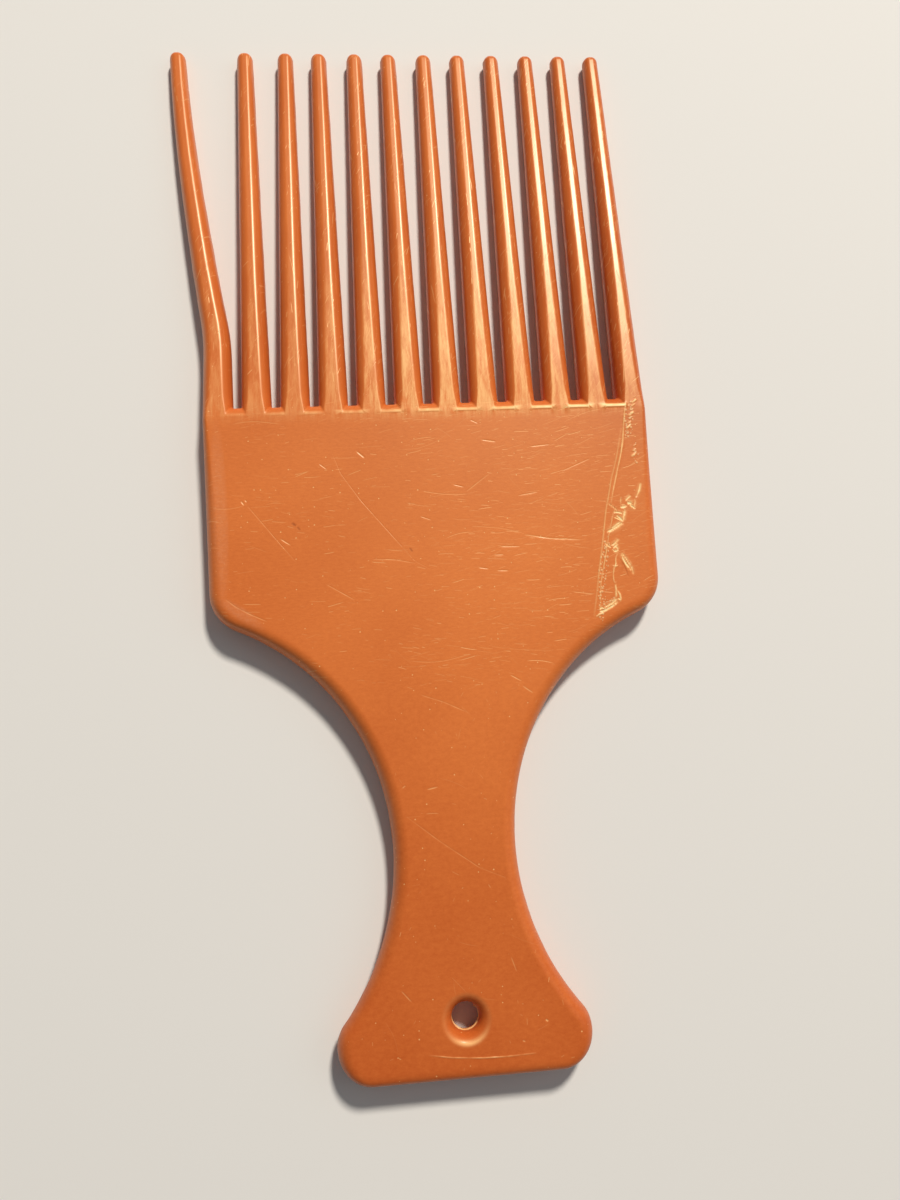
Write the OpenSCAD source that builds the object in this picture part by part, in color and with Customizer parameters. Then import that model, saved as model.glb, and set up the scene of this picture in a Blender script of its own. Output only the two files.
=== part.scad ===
// Afro pick: a flat moulded comb with long round teeth, a broad blade and a waisted handle.
// Millimetres. +Y points to the tips, +Z up, and the back face lies on Z = 0.
// The origin is on the centreline, on the back face, halfway along the pick.
// The plate is alike on both faces. The teeth thin from the front only, so that their backs
// stay in the plane of the back face.

/* [Teeth] */
// Number of teeth
tooth_count = 12; // [8:1:16]
// Distance between neighbouring teeth, centre to centre
tooth_pitch = 6.1; // [5.4:0.1:7.4]
// Length of a tooth, from the bottom of the gap to its tip
tooth_l = 67; // [56:0.2:90]
// Width of a tooth at its root
tooth_root_w = 4.8; // [4:0.1:5.6]
// Width of the flat top of a tooth at its root
root_flat_w = 2.8; // [1.6:0.1:3.6]
// Distance from the gap bottoms to where the flat top has narrowed away
flat_l = 26; // [18:1:54]
// Width of the flat that runs on to the tip
tip_flat_w = 0.5; // [0.1:0.05:0.8]
// Thickness across the round end of a tooth
tip_d = 2.7; // [1.8:0.1:3.6]

/* [Bent tooth] */
// How far the tip of the first tooth is bent outward
bend_out = 6.3; // [0:0.1:8]
// Distance from the gap bottoms to the start of the bend
bend_start = 9; // [4:1:24]
// Length over which the bend turns
bend_run = 6; // [2:1:12]

/* [Blade] */
// Thickness of the whole plate
plate_t = 5.5; // [4.4:0.1:7]
// How far the rounding of an edge reaches in over each face
edge_round = 2.2; // [1.2:0.1:2.8]
// Lean of the blade's sides towards the handle, in degrees
side_lean = 1.4; // [0:0.1:3]
// Radius of the blade's lower corners
corner_r = 6.4; // [4:0.2:9]

/* [Handle] */
// Length of the plate, from the gap bottoms to the end of the handle
plate_l = 101.4; // [96:0.2:112]
// Length of the handle, from its end to where the blade begins
handle_l = 55; // [48:1:60]
// Width across the waist, the narrowest place
waist_w = 18.2; // [14:0.2:26]
// Radius of the hollow curve at the waist
waist_r = 37.4; // [34:0.2:46]
// Distance from the end of the handle to the waist
waist_up = 31.4; // [28:0.2:35]
// Radius of the two corners at the end of the handle
end_r = 5; // [3.4:0.1:8]

/* [Hanging hole] */
// Radius of the straight wall inside the hole
hole_r = 2; // [1.2:0.1:3]
// Length of that straight wall
hole_wall_l = 1; // [0.4:0.1:2.4]
// How far the rounding of the hole's mouth reaches out over each face
mouth_round = 1.7; // [0.6:0.1:2.6]
// Distance from the hole's centre to the end of the handle
hole_inset = 8.1; // [7:0.1:14]

/* [Hidden] */
// Steps in a quarter of a rounded edge, and along each stretch of the outline
edge_steps = 6;
side_steps = 5;
corner_steps = 7;
shoulder_steps = 6;
waist_steps = 16;
end_steps = 10;
bend_steps = 8;
tip_steps = 4;
hole_fn = 64;
// How far a cutter passes the face that it opens
overrun = 1;
// Place of each tip beside its straight one, as a share of the pitch, from the second tooth on.
// A tooth past the end of the list stands straight.
lean_shares = [-0.14, 0.01, -0.04, -0.01, -0.03, 0, -0.01, 0, 0.02, 0, -0.01];
// How steeply the bend sets out, as a share of its average slope
bend_lead_share = 1.3;
// Size of the last ring of a round tip, as a share of the tip
tip_end_share = 0.12;
plastic = [0.84, 0.47, 0.25];

half_t = plate_t / 2;
tip_r = tip_d / 2;
tip_y = tooth_l - tip_r;
// The gap bottoms lie on Y = 0 while a piece is drawn, and then the pick moves to its middle
middle_y = (plate_l - tooth_l) / 2;
// The roots start where the rounding of the gap bottoms ends
root_y = -edge_round;
seam_y = handle_l - plate_l;
row_half_w = (tooth_count - 1) / 2 * tooth_pitch;
flank_round = (tooth_root_w - root_flat_w) / 2;

// Top of the right side, its outward normal and the way it runs down
side_top = [row_half_w + tooth_root_w / 2, root_y];
side_normal = [cos(side_lean), -sin(side_lean)];
side_run = [-sin(side_lean), -cos(side_lean)];
// Centre of the hollow curve on the right
waist_c = [waist_w / 2 + waist_r, waist_up - plate_l];
// The blade's corner touches the side and the hollow curve
corner_off = side_top - corner_r * side_normal - waist_c;
corner_reach = waist_r + corner_r;
corner_down = -corner_off * side_run
    - sqrt(pow(corner_off * side_run, 2) - corner_off * corner_off + pow(corner_reach, 2));
corner_c = waist_c + corner_off + corner_down * side_run;
corner_turn = atan2(waist_c.y - corner_c.y, waist_c.x - corner_c.x);
side_end = corner_c + corner_r * side_normal;
// The end corner touches the hollow curve and the end edge
end_reach = waist_r + end_r;
end_c_y = end_r - plate_l;
end_c = [waist_c.x - sqrt(pow(end_reach, 2) - pow(end_c_y - waist_c.y, 2)), end_c_y];
end_turn = atan2(waist_c.y - end_c.y, waist_c.x - end_c.x);

function tooth_name(i) = str("tooth_", i < 10 ? "0" : "", i);
function lerp(a, b, u) = a + (b - a) * u;
function polar(c, r, a) = c + r * [cos(a), sin(a)];
function quarter(from, to) = [for (s = [from:to]) 90 * s / edge_steps];

// A tooth narrows and thins in straight lines from its root to its tip
function taper(y) = (y - root_y) / (tip_y - root_y);
function tooth_w(y) = lerp(tooth_root_w, tip_d, taper(y));
function tooth_t(y) = lerp(plate_t, tip_d, taper(y));
function flat_w(y) = lerp(root_flat_w, tip_flat_w, min(1, (y - root_y) / (flat_l - root_y)));

// Section across a tooth: a flat top and bottom joined by quarter ellipses,
// round where the flat is narrow and square-shouldered where it is wide
function section(w, t, flat) =
    let (f = flat / 2, e = (w - flat) / 2, h = t / 2)
    concat(
        [for (a = quarter(0, edge_steps)) [-f - e * cos(a), h * sin(a)]],
        [for (a = quarter(0, edge_steps)) [f + e * sin(a), h * cos(a)]],
        [for (a = quarter(1, edge_steps)) [f + e * cos(a), -h * sin(a)]],
        [for (a = quarter(0, edge_steps - 1)) [-f - e * sin(a), -h * cos(a)]]
    );

// How far tooth i stands aside at a distance y above the gap bottoms
function bend_travel(y) =
    y < bend_start ? 0
    : y < bend_start + bend_run ? pow(y - bend_start, 2) / (2 * bend_run)
    : y - bend_start - bend_run / 2;
function bend_curve(u) = bend_lead_share * u - (bend_lead_share - 1) * pow(u, 3);
function lean(i) = i - 2 < len(lean_shares) ? lean_shares[i - 2] * tooth_pitch : 0;
function aside(i, y) =
    i == 1 ? -bend_out * bend_curve(bend_travel(y) / bend_travel(tooth_l))
    : y < 0 ? 0
    : lean(i) * y / tooth_l;
function tooth_x(i) = (i - 1) * tooth_pitch - row_half_w;

// One ring of tooth i, centred half the tooth's thickness over the back face
function ring(i, y, share) =
    let (at = min(y, tip_y), t = tooth_t(at))
    [
        for (p = section(tooth_w(at), t, flat_w(at)))
            [tooth_x(i) + aside(i, y) + p.x * share, y, t / 2 + p.y * share]
    ];
// The rings along a straight tooth and along the bent one, up to the round tip
function straight_rings(i) = [for (y = [0, flat_l, tip_y]) ring(i, y, 1)];
function bent_rings(i) =
    let (bent_y = bend_start + bend_run)
    concat(
        [for (y = [0, bend_start, bend_start + bend_run / 2]) ring(i, y, 1)],
        [for (s = [0:bend_steps]) ring(i, lerp(bent_y, tip_y, s / bend_steps), 1)]
    );
function tip_rings(i) = [
    for (s = [1:tip_steps])
        let (a = 90 * s / tip_steps)
        ring(i, tip_y + tip_r * sin(a), max(cos(a), tip_end_share))
];

// Triangles between rings of n points that run counter-clockwise seen from the last of them
function skin(count, n) = [
    for (k = [0:count - 2], j = [0:n - 1])
        let (a = k * n + j, b = k * n + (j + 1) % n)
        each [[a, a + n, b + n], [a, b + n, b]]
];

// A closed skin over rings, with a flat face at each end
module loft(rings) {
    n = len(rings[0]);
    ends = [
        [for (j = [0:n - 1]) j],
        [for (j = [0:n - 1]) len(rings) * n - 1 - j]
    ];
    polyhedron([for (r = rings) each r], concat(skin(len(rings), n), ends));
}

// The right half of the outline, from the top down, at a share of the full rounding.
// The rounding widens along the side, from that of a tooth's flank to that of the plate.
function side_points(share) = [
    for (s = [0:side_steps - 1])
        let (u = s / side_steps)
        lerp(side_top, side_end, u) - [share * lerp(flank_round, edge_round, sin(90 * u)), 0]
];
function corner_points(share) = [
    for (s = [0:corner_steps])
        polar(corner_c, corner_r - share * edge_round, lerp(-side_lean, corner_turn, s / corner_steps))
];
function seam_turn(share) = 180 - asin((seam_y - waist_c.y) / (waist_r + share * edge_round));
function waist_points(share, from, to, first, steps) = [
    for (s = [first:steps])
        polar(waist_c, waist_r + share * edge_round, lerp(from, to, s / steps))
];
function end_points(share) = [
    for (s = [1:end_steps])
        polar(end_c, end_r - share * edge_round, lerp(end_turn, -90, s / end_steps))
];
function blade_points(share) = concat(
    side_points(share),
    corner_points(share),
    waist_points(share, corner_turn + 180, seam_turn(share), 1, shoulder_steps)
);
function handle_points(share) = concat(
    waist_points(share, seam_turn(share), end_turn + 180, 0, waist_steps),
    end_points(share)
);

// Heights and shares of the rounding, from the back face round to the front
levels = [for (s = [-edge_steps:edge_steps]) 90 * s / edge_steps];
function level_z(a) = half_t + half_t * sin(a);
function level_share(a) = 1 - cos(a);

// A plate from one outline a level: the right half and its mirror image
module rounded_plate(outlines) {
    m = len(outlines[0]);
    n = 2 * m;
    rings = [
        for (k = [0:len(outlines) - 1])
            let (z = level_z(levels[k]), half = outlines[k])
            concat(
                [for (j = [m - 1:-1:0]) [half[j].x, half[j].y, z]],
                [for (j = [0:m - 1]) [-half[j].x, half[j].y, z]]
            )
    ];
    top = (len(rings) - 1) * n;
    back = [for (j = [0:m - 2]) [j, j + 1, n - 2 - j, n - 1 - j]];
    front = [for (j = [0:m - 2]) [top + n - 1 - j, top + n - 2 - j, top + j + 1, top + j]];
    polyhedron([for (r = rings) each r], concat(skin(len(rings), n), back, front));
}

// The rounded bar that closes every gap, one bar behind all the roots
module gap_bottoms() {
    profile = [for (a = levels) [root_y + edge_round * cos(a), level_z(a)]];
    translate([-row_half_w, 0, 0])
        rotate([90, 0, 90])
            linear_extrude(2 * row_half_w)
                polygon(profile);
}

// The rounded mouth of the hanging hole, cut down from the front face
module hole_mouth() {
    wall_top = half_t + hole_wall_l / 2;
    curve = [
        for (a = quarter(0, edge_steps))
            [hole_r + mouth_round * (1 - cos(a)), lerp(wall_top, plate_t, sin(a))]
    ];
    top = plate_t + overrun;
    rotate_extrude($fn = hole_fn)
        polygon(concat([[0, wall_top]], curve, [[hole_r + mouth_round, top], [0, top]]));
}

module hanging_hole() {
    translate([0, hole_inset - plate_l, 0]) {
        translate([0, 0, -overrun])
            cylinder(h = plate_t + 2 * overrun, r = hole_r, $fn = hole_fn);
        hole_mouth();
        translate([0, 0, plate_t])
            mirror([0, 0, 1])
                hole_mouth();
    }
}

module blade() {
    color(plastic)
        translate([0, middle_y, 0]) {
            rounded_plate([for (a = levels) blade_points(level_share(a))]);
            gap_bottoms();
            for (i = [1:tooth_count])
                loft([for (y = [root_y, 0]) ring(i, y, 1)]);
        }
}

module handle() {
    color(plastic)
        translate([0, middle_y, 0])
            difference() {
                rounded_plate([for (a = levels) handle_points(level_share(a))]);
                hanging_hole();
            }
}

module tooth(i) {
    color(plastic)
        translate([0, middle_y, 0])
            loft(concat(i == 1 ? bent_rings(i) : straight_rings(i), tip_rings(i)));
}

blade();
handle();
for (i = [1:tooth_count]) tooth(i);
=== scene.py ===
"""Dresses a moulded hair pick: blade, waisted handle and twelve round teeth in one orange-brown plastic.

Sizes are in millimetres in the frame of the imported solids, and meshes are made in metres.
"""
import logging
import math
from collections.abc import Callable, Sequence
from dataclasses import dataclass, field, replace
from enum import Enum

import bmesh
import bpy
import numpy as np
from mathutils import Euler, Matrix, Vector
from mathutils.geometry import delaunay_2d_cdt


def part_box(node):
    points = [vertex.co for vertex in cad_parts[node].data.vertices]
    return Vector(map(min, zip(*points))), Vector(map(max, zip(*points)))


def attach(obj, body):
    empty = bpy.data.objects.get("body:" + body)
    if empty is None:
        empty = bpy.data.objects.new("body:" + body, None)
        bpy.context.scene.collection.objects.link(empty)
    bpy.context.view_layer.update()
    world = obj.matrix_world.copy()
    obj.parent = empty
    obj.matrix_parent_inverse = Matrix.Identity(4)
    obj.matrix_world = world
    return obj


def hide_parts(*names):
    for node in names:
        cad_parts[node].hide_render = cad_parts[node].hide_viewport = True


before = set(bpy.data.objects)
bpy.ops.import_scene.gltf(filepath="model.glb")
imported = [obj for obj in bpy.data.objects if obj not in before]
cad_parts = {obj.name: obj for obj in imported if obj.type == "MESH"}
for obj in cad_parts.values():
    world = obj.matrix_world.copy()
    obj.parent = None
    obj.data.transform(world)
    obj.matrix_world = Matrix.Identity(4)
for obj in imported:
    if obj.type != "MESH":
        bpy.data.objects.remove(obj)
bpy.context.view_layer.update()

LOG = logging.getLogger("hair_pick")
MM = 0.001
BODY = "root"
# Points closer than this, in metres, are one point
WELD = 2e-6
# Mesh attribute that holds the wear and the painted light, and the value of the palest marks
WORN, MOST_WORN = "worn", 2.0
TOOTH_COUNT = 12
# Angles of the contours round a quarter of an edge, in degrees from the parting line
EDGE_TURNS = (1.3, 4.5, 10, 17, 25, 33, 41, 49, 57, 64, 70, 75.5, 80, 84, 87.2, 90)
# Distance between the inner points of a broad face, and between their rows as a share of it
FACE_STEP, ROW_SHARE = 1.1, 0.87
# Least distance of a mark's points from each other and from the border of the face
SPOT_GAP, BORDER_GAP = 0.045, 0.1
# Least distance of the inner points from all others, as a share of their step
FREE_GAP_SHARE = 0.45
# Stretches along the seam between blade and handle
SEAM_STEPS = 25

Points = np.ndarray
Socket = bpy.types.NodeSocket
Colour = tuple[float, float, float, float]


class Face(Enum):
    """The two broad faces of the pick."""

    FRONT = 1
    BACK = -1


@dataclass(frozen=True)
class Level:
    """One contour of a rounded edge, between the parting line and a flat face.

    Attributes:
        reach: How far out the contour stands, from 0 at the flat to 1 at the parting line.
        rise: Its height over the middle plane, as a share of half the thickness.
        inset: How far past the rounding it lies inside the flat, in millimetres.
    """

    reach: float
    rise: float
    inset: float = 0.0


def edge_levels(flat_inset: float) -> list[Level]:
    """Contours round a whole edge, from the back face over the parting line to the front.

    Args:
        flat_inset: Distance of the last contour inside the flat, in millimetres.

    Returns:
        The levels in order, with the parting line in the middle.
    """
    upper = [Level(math.cos(a), math.sin(a)) for a in map(math.radians, EDGE_TURNS)]
    upper[-1] = Level(0.0, 1.0)
    upper.append(Level(0.0, 1.0, flat_inset))
    lower = [Level(level.reach, -level.rise, level.inset) for level in reversed(upper)]
    return [*lower, Level(1.0, 0.0), *upper]


@dataclass(frozen=True)
class PickSizes:
    """Driving sizes of the pick in millimetres and degrees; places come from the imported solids."""

    tooth_root_w: float = 4.8
    root_flat_w: float = 2.8
    flat_l: float = 26.0
    tip_flat_w: float = 0.5
    tip_d: float = 2.7
    bend_start: float = 9.0
    bend_run: float = 6.0
    bend_lead_share: float = 1.3
    edge_round: float = 2.2
    side_lean: float = 1.4
    corner_r: float = 6.4
    waist_w: float = 18.2
    waist_r: float = 37.4
    waist_up: float = 31.4
    end_r: float = 5.0
    hole_r: float = 2.0
    hole_wall_l: float = 1.0
    mouth_round: float = 1.7
    hole_inset: float = 8.1
    root_fillet: float = 0.3
    shoulder: float = 0.42
    shoulder_run: float = 4.2
    flat_inset: float = 0.2
    seam_lead: float = 0.1
    plate_t: float = field(init=False)
    gap_y: float = field(init=False)
    end_y: float = field(init=False)
    seam_y: float = field(init=False)
    half_w: float = field(init=False)
    tips_y: float = field(init=False)

    def __post_init__(self) -> None:
        """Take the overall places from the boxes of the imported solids."""
        blade, handle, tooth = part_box("blade"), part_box("handle"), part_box("tooth_02")
        places = {
            "plate_t": (blade[1].z - blade[0].z) / MM,
            "gap_y": tooth[0].y / MM,
            "tips_y": tooth[1].y / MM,
            "end_y": handle[0].y / MM,
            "seam_y": handle[1].y / MM,
            "half_w": blade[1].x / MM,
        }
        for name, value in places.items():
            object.__setattr__(self, name, value)

    @property
    def half_t(self) -> float:
        """Half the thickness, which is also the height of the middle plane."""
        return self.plate_t / 2

    @property
    def root_y(self) -> float:
        """Where the flat blade ends and the roots begin."""
        return self.gap_y - self.edge_round

    @property
    def tip_y(self) -> float:
        """Where a tooth's round end begins."""
        return self.tips_y - self.tip_d / 2

    @property
    def flank_round(self) -> float:
        """Width of the rounded flank of a tooth at its root."""
        return (self.tooth_root_w - self.root_flat_w) / 2


def ripple(s: Points, seed: float) -> Points:
    """A smooth irregular wave along a length.

    Args:
        s: Places along the length, in millimetres.
        seed: Shifts the wave, so that each piece has its own.

    Returns:
        Heights from about -1 to 1.
    """
    waves = ((0.31, 0.4), (0.83, 0.3), (1.9, 0.2), (4.3, 0.1))
    return sum(share * np.sin(rate * s + seed * (1 + rate) + share) for rate, share in waves)


def sway(x: Points, y: Points) -> Points:
    """The slight unevenness of a broad moulded face, in millimetres.

    Args:
        x: Places across the pick.
        y: Places along the pick.

    Returns:
        Heights that wander by about a hundredth of a millimetre.
    """
    broad_rise, narrow_rise = 0.007, 0.003
    broad = np.sin(0.21 * x + 0.6) * np.cos(0.17 * y - 0.4)
    narrow = np.sin(0.53 * x - 0.35 * y) * np.cos(0.41 * y + 0.22 * x + 1.0)
    return broad_rise * broad + narrow_rise * narrow


def between(a: Points, b: Points, steps: int) -> Points:
    """Even points from one to another, without the two themselves."""
    return np.linspace(a, b, steps + 1)[1:-1]


def arc(centre: Points, radius: float, turns: Points) -> Points:
    """Points round a centre, at some angles in radians."""
    return centre + radius * np.column_stack([np.cos(turns), np.sin(turns)])


def parting_row(levels: Sequence[Level]) -> int:
    """Place of the parting line among the levels."""
    return next(k for k, level in enumerate(levels) if level.reach == 1.0)


def section_loop(right: Points, left: Points, steps: int) -> Points:
    """Join two flanks into one loop, with even points along both flats.

    Args:
        right: The right flank, from the back to the front.
        left: The left flank, the same way.
        steps: Stretches along each flat.

    Returns:
        The loop.
    """
    top, low = between(right[-1], left[-1], steps), between(left[0], right[0], steps)
    return np.vstack([right, top, left[::-1], low])


@dataclass(frozen=True)
class Mark:
    """A raised line or a groove in a broad face.

    Attributes:
        points: The corners of its path, in millimetres across and along from the gap bottoms.
        height: Height over the face, which is negative for a groove.
        half_w: Half its width.
        pale: How far its plastic has paled, or darkened where it is below zero; on one groove the darkening
            is a painted shadow.
        ragged: How uneven it is along its length.
        burr: Height of the plastic pushed up on both sides, as a share of its height.
        face: The face that carries it.
    """

    points: tuple[tuple[float, float], ...]
    height: float
    half_w: float = 0.09
    pale: float = 0.7
    ragged: float = 0.3
    burr: float = 0.0
    face: Face = Face.FRONT
    # Distance between the points of the path, their least number, and the ends' overrun in half widths
    STEP, LEAST, OVERRUN = 0.33, 7, ((1.2,), (3.0,))
    # Share of the height that unevenness leaves, and its waves a millimetre
    EVEN_SHARE, WAVES = 0.8, 3.1
    # Distances across it in half widths, and its shares of the height at the shoulder and at the foot
    SECTION, SHOULDER_SHARE, FOOT_SHARE = (0.0, 0.4, 0.85, 1.3, 3.0), 0.75, 0.12

    def moved(self, along: float) -> "Mark":
        """The same mark, moved along the pick."""
        return replace(self, points=tuple((x, y + along) for x, y in self.points))

    def path(self) -> tuple[Points, Points, Points]:
        """Even points along the mark, with two more past either end.

        Returns:
            The points, the unit direction across the mark at each, and their share of its full height.
        """
        corners = np.array(self.points, float)
        lengths = np.concatenate([[0], np.cumsum(np.linalg.norm(np.diff(corners, axis=0), axis=1))])
        s = np.linspace(0, lengths[-1], max(self.LEAST, round(lengths[-1] / self.STEP)))
        line = np.column_stack([np.interp(s, lengths, corners[:, k]) for k in (0, 1)])
        passes = 2 if len(corners) > 2 else 0
        for _ in range(passes):
            line[1:-1] = (line[:-2] + 2 * line[1:-1] + line[2:]) / 4
        share = np.sin(np.linspace(0, math.pi, len(line))) ** 0.5
        share *= self.EVEN_SHARE + self.ragged * ripple(s * self.WAVES, self.points[0][0])
        run = np.gradient(line, axis=0)
        run /= np.linalg.norm(run, axis=1)[:, None]
        over = np.array(self.OVERRUN) * self.half_w
        line = np.vstack([line[0] - over[::-1] * run[0], line, line[-1] + over * run[-1]])
        run = np.vstack([run[[0, 0]], run, run[[-1, -1]]])
        return line, np.column_stack([-run[:, 1], run[:, 0]]), np.concatenate([[0, 0], share, [0, 0]])

    def profile(self) -> tuple[tuple[float, float], ...]:
        """The section across the mark.

        Returns:
            Distances from the middle in half widths, each with its share of the height.
        """
        foot = self.FOOT_SHARE - self.burr
        shares = 1.0, self.SHOULDER_SHARE, foot, foot / 3 if self.burr else 0.0, 0.0
        return tuple(zip(self.SECTION, shares))

    def spots(self) -> Points:
        """Places that the mesh needs to draw the mark.

        Returns:
            Rows of x and y.
        """
        line, across, _ = self.path()
        steps = [away * self.half_w for away, _ in self.profile()]
        return np.vstack([line + step * across for step in (*(-step for step in steps[:0:-1]), *steps)])

    def relief(self, places: Points) -> Points:
        """Height and paleness of the mark at some places.

        Args:
            places: Rows of x and y.

        Returns:
            One row of height and paleness a place.
        """
        line, _, share = self.path()
        run = np.diff(line, axis=0)
        apart = places[:, None] - line[:-1]
        part = np.clip((apart * run).sum(axis=2) / (run ** 2).sum(axis=1), 0, 1)
        away = np.linalg.norm(apart - part[..., None] * run, axis=2)
        k, rows = away.argmin(axis=1), np.arange(len(places))
        full = share[k] + part[rows, k] * (share[k + 1] - share[k])
        steps, parts = np.array(self.profile()).T
        drawn = np.interp(away[rows, k] / self.half_w, steps, parts)
        worn = np.minimum(abs(drawn) * self.pale * full, MOST_WORN)
        return np.column_stack([drawn * self.height * full, worn])


def rungs(low: tuple[float, float], high: tuple[float, float], count: int) -> tuple[Mark, ...]:
    """A ladder of short slanted ridges, no two alike.

    Args:
        low: Middle of the lowest ridge, in millimetres across and along from the gap bottoms.
        high: Middle of the highest ridge.
        count: How many there are.

    Returns:
        The ridges.
    """
    usual, swing, rate = 0.72, 0.3, 2.3
    reach, rise, height, half_w, pale, ragged = 0.5, 0.38, 0.12, 0.24, 2.1, 0.4
    found = []
    for k, (x, y) in enumerate(np.linspace(low, high, count)):
        size = usual + swing * math.sin(rate * k + 1)
        path = (x - reach * size, y - rise * size), (x + reach * size, y + rise * size)
        found.append(Mark(path, height * size, half_w * size, pale * size, ragged))
    return tuple(found)


class Shell:
    """Collects the patches of one closed piece and turns them into a mesh object.

    The mesh carries the attribute WORN: 0 off the marks, up to 2 on the palest, and below 0 on stains and on
    a painted groove shadow; painted highlights on the ledges and the hole ride in it too.
    """

    def __init__(self, name: str) -> None:
        """Start an empty piece.

        Args:
            name: Name of the finished object.
        """
        self.name = name
        self.points: list[Points] = []
        self.worn: list[Points] = []
        self.faces: list[list[int]] = []
        self.hidden: list[bool] = []
        self.count = 0

    def patch(
        self, points: Points, faces: Sequence[Sequence[int]], worn: Points | None = None,
        hidden: bool = False,
    ) -> None:
        """Add faces over points of their own.

        Args:
            points: The points, in millimetres.
            faces: Indices into them, one list a face.
            worn: The wear and painted highlight at each point, which is none where it isn't given.
            hidden: Whether they close the piece where it meets its neighbour.
        """
        self.points.append(points)
        self.worn.append(np.zeros(len(points)) if worn is None else worn)
        self.faces += [[self.count + k for k in face] for face in faces]
        self.hidden += [hidden] * len(faces)
        self.count += len(points)

    def grid(self, rows: Points, closed: bool = False, worn: Points | None = None) -> None:
        """Add a grid of quads.

        Args:
            rows: Points as rows by columns by three, in millimetres.
            closed: Whether the last column joins the first.
            worn: The wear and painted highlight at each point, as rows by columns.
        """
        m, n, _ = rows.shape
        faces = []
        for low in range(0, (m - 1) * n, n):
            for j in range(n if closed else n - 1):
                k = (j + 1) % n
                faces.append([low + j, low + k, low + n + k, low + n + j])
        self.patch(rows.reshape(-1, 3), faces, None if worn is None else worn.ravel())

    def cap(self, loop: Points, hidden: bool = True) -> None:
        """Close an end with a fan of triangles.

        Args:
            loop: The loop around it, in order.
            hidden: Whether it lies against a neighbour.
        """
        n = len(loop)
        fan = [[k, (k + 1) % n, n] for k in range(n)]
        self.patch(np.vstack([loop, loop.mean(axis=0)]), fan, hidden=hidden)

    def build(self, material: bpy.types.Material, node: str) -> bpy.types.Object:
        """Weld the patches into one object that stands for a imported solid.

        Args:
            material: The finish of the piece.
            node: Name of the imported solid.

        Returns:
            The mesh object, riding on its body.
        """
        mesh = bpy.data.meshes.new(self.name)
        points = np.vstack(self.points)
        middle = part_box("blade")[1].z / MM / 2
        points[:, 2] += sway(points[:, 0], points[:, 1]) * (points[:, 2] / middle - 1)
        mesh.from_pydata((points * MM).tolist(), [], self.faces)
        mesh.polygons.foreach_set("use_smooth", [not h for h in self.hidden])
        mesh.attributes.new(WORN, "FLOAT", "POINT").data.foreach_set("value", np.concatenate(self.worn))
        work = bmesh.new()
        work.from_mesh(mesh)
        bmesh.ops.remove_doubles(work, verts=work.verts, dist=WELD)
        bmesh.ops.dissolve_degenerate(work, edges=work.edges, dist=WELD)
        bmesh.ops.recalc_face_normals(work, faces=work.faces)
        for face in work.faces:
            if not face.smooth:
                for edge in face.edges:
                    edge.smooth = False
        open_edges = sum(not edge.is_manifold for edge in work.edges)
        work.to_mesh(mesh)
        work.free()
        mesh.materials.append(material)
        piece = bpy.data.objects.new(self.name, mesh)
        bpy.context.scene.collection.objects.link(piece)
        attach(piece, BODY)
        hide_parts(node)
        LOG.info("%s: %d faces, %d open edges", self.name, len(mesh.polygons), open_edges)
        return piece


def inside(loop: Points, points: Points) -> Points:
    """Tell which points lie inside a closed loop.

    Args:
        loop: The corners of the loop, as rows of x and y.
        points: The points to test.

    Returns:
        One truth value a point.
    """
    found = np.zeros(len(points), bool)
    for (x0, y0), (x1, y1) in zip(loop, np.roll(loop, -1, axis=0)):
        if y0 != y1:
            crosses = (points[:, 1] < y0) != (points[:, 1] < y1)
            found ^= crosses & (points[:, 0] < x0 + (points[:, 1] - y0) * (x1 - x0) / (y1 - y0))
    return found


def clear_of(points: Points, others: Points, gap: float) -> Points:
    """Keep the points that stand clear of others.

    Args:
        points: The points to thin out.
        others: The points to stay away from.
        gap: The least distance, in millimetres.

    Returns:
        The points that are left.
    """
    keep, batch = np.ones(len(points), bool), 200
    for start in range(0, len(others), batch):
        away = points[:, None, :2] - others[None, start:start + batch, :2]
        keep &= (away ** 2).sum(axis=2).min(axis=1) > gap * gap
    return points[keep]


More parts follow.
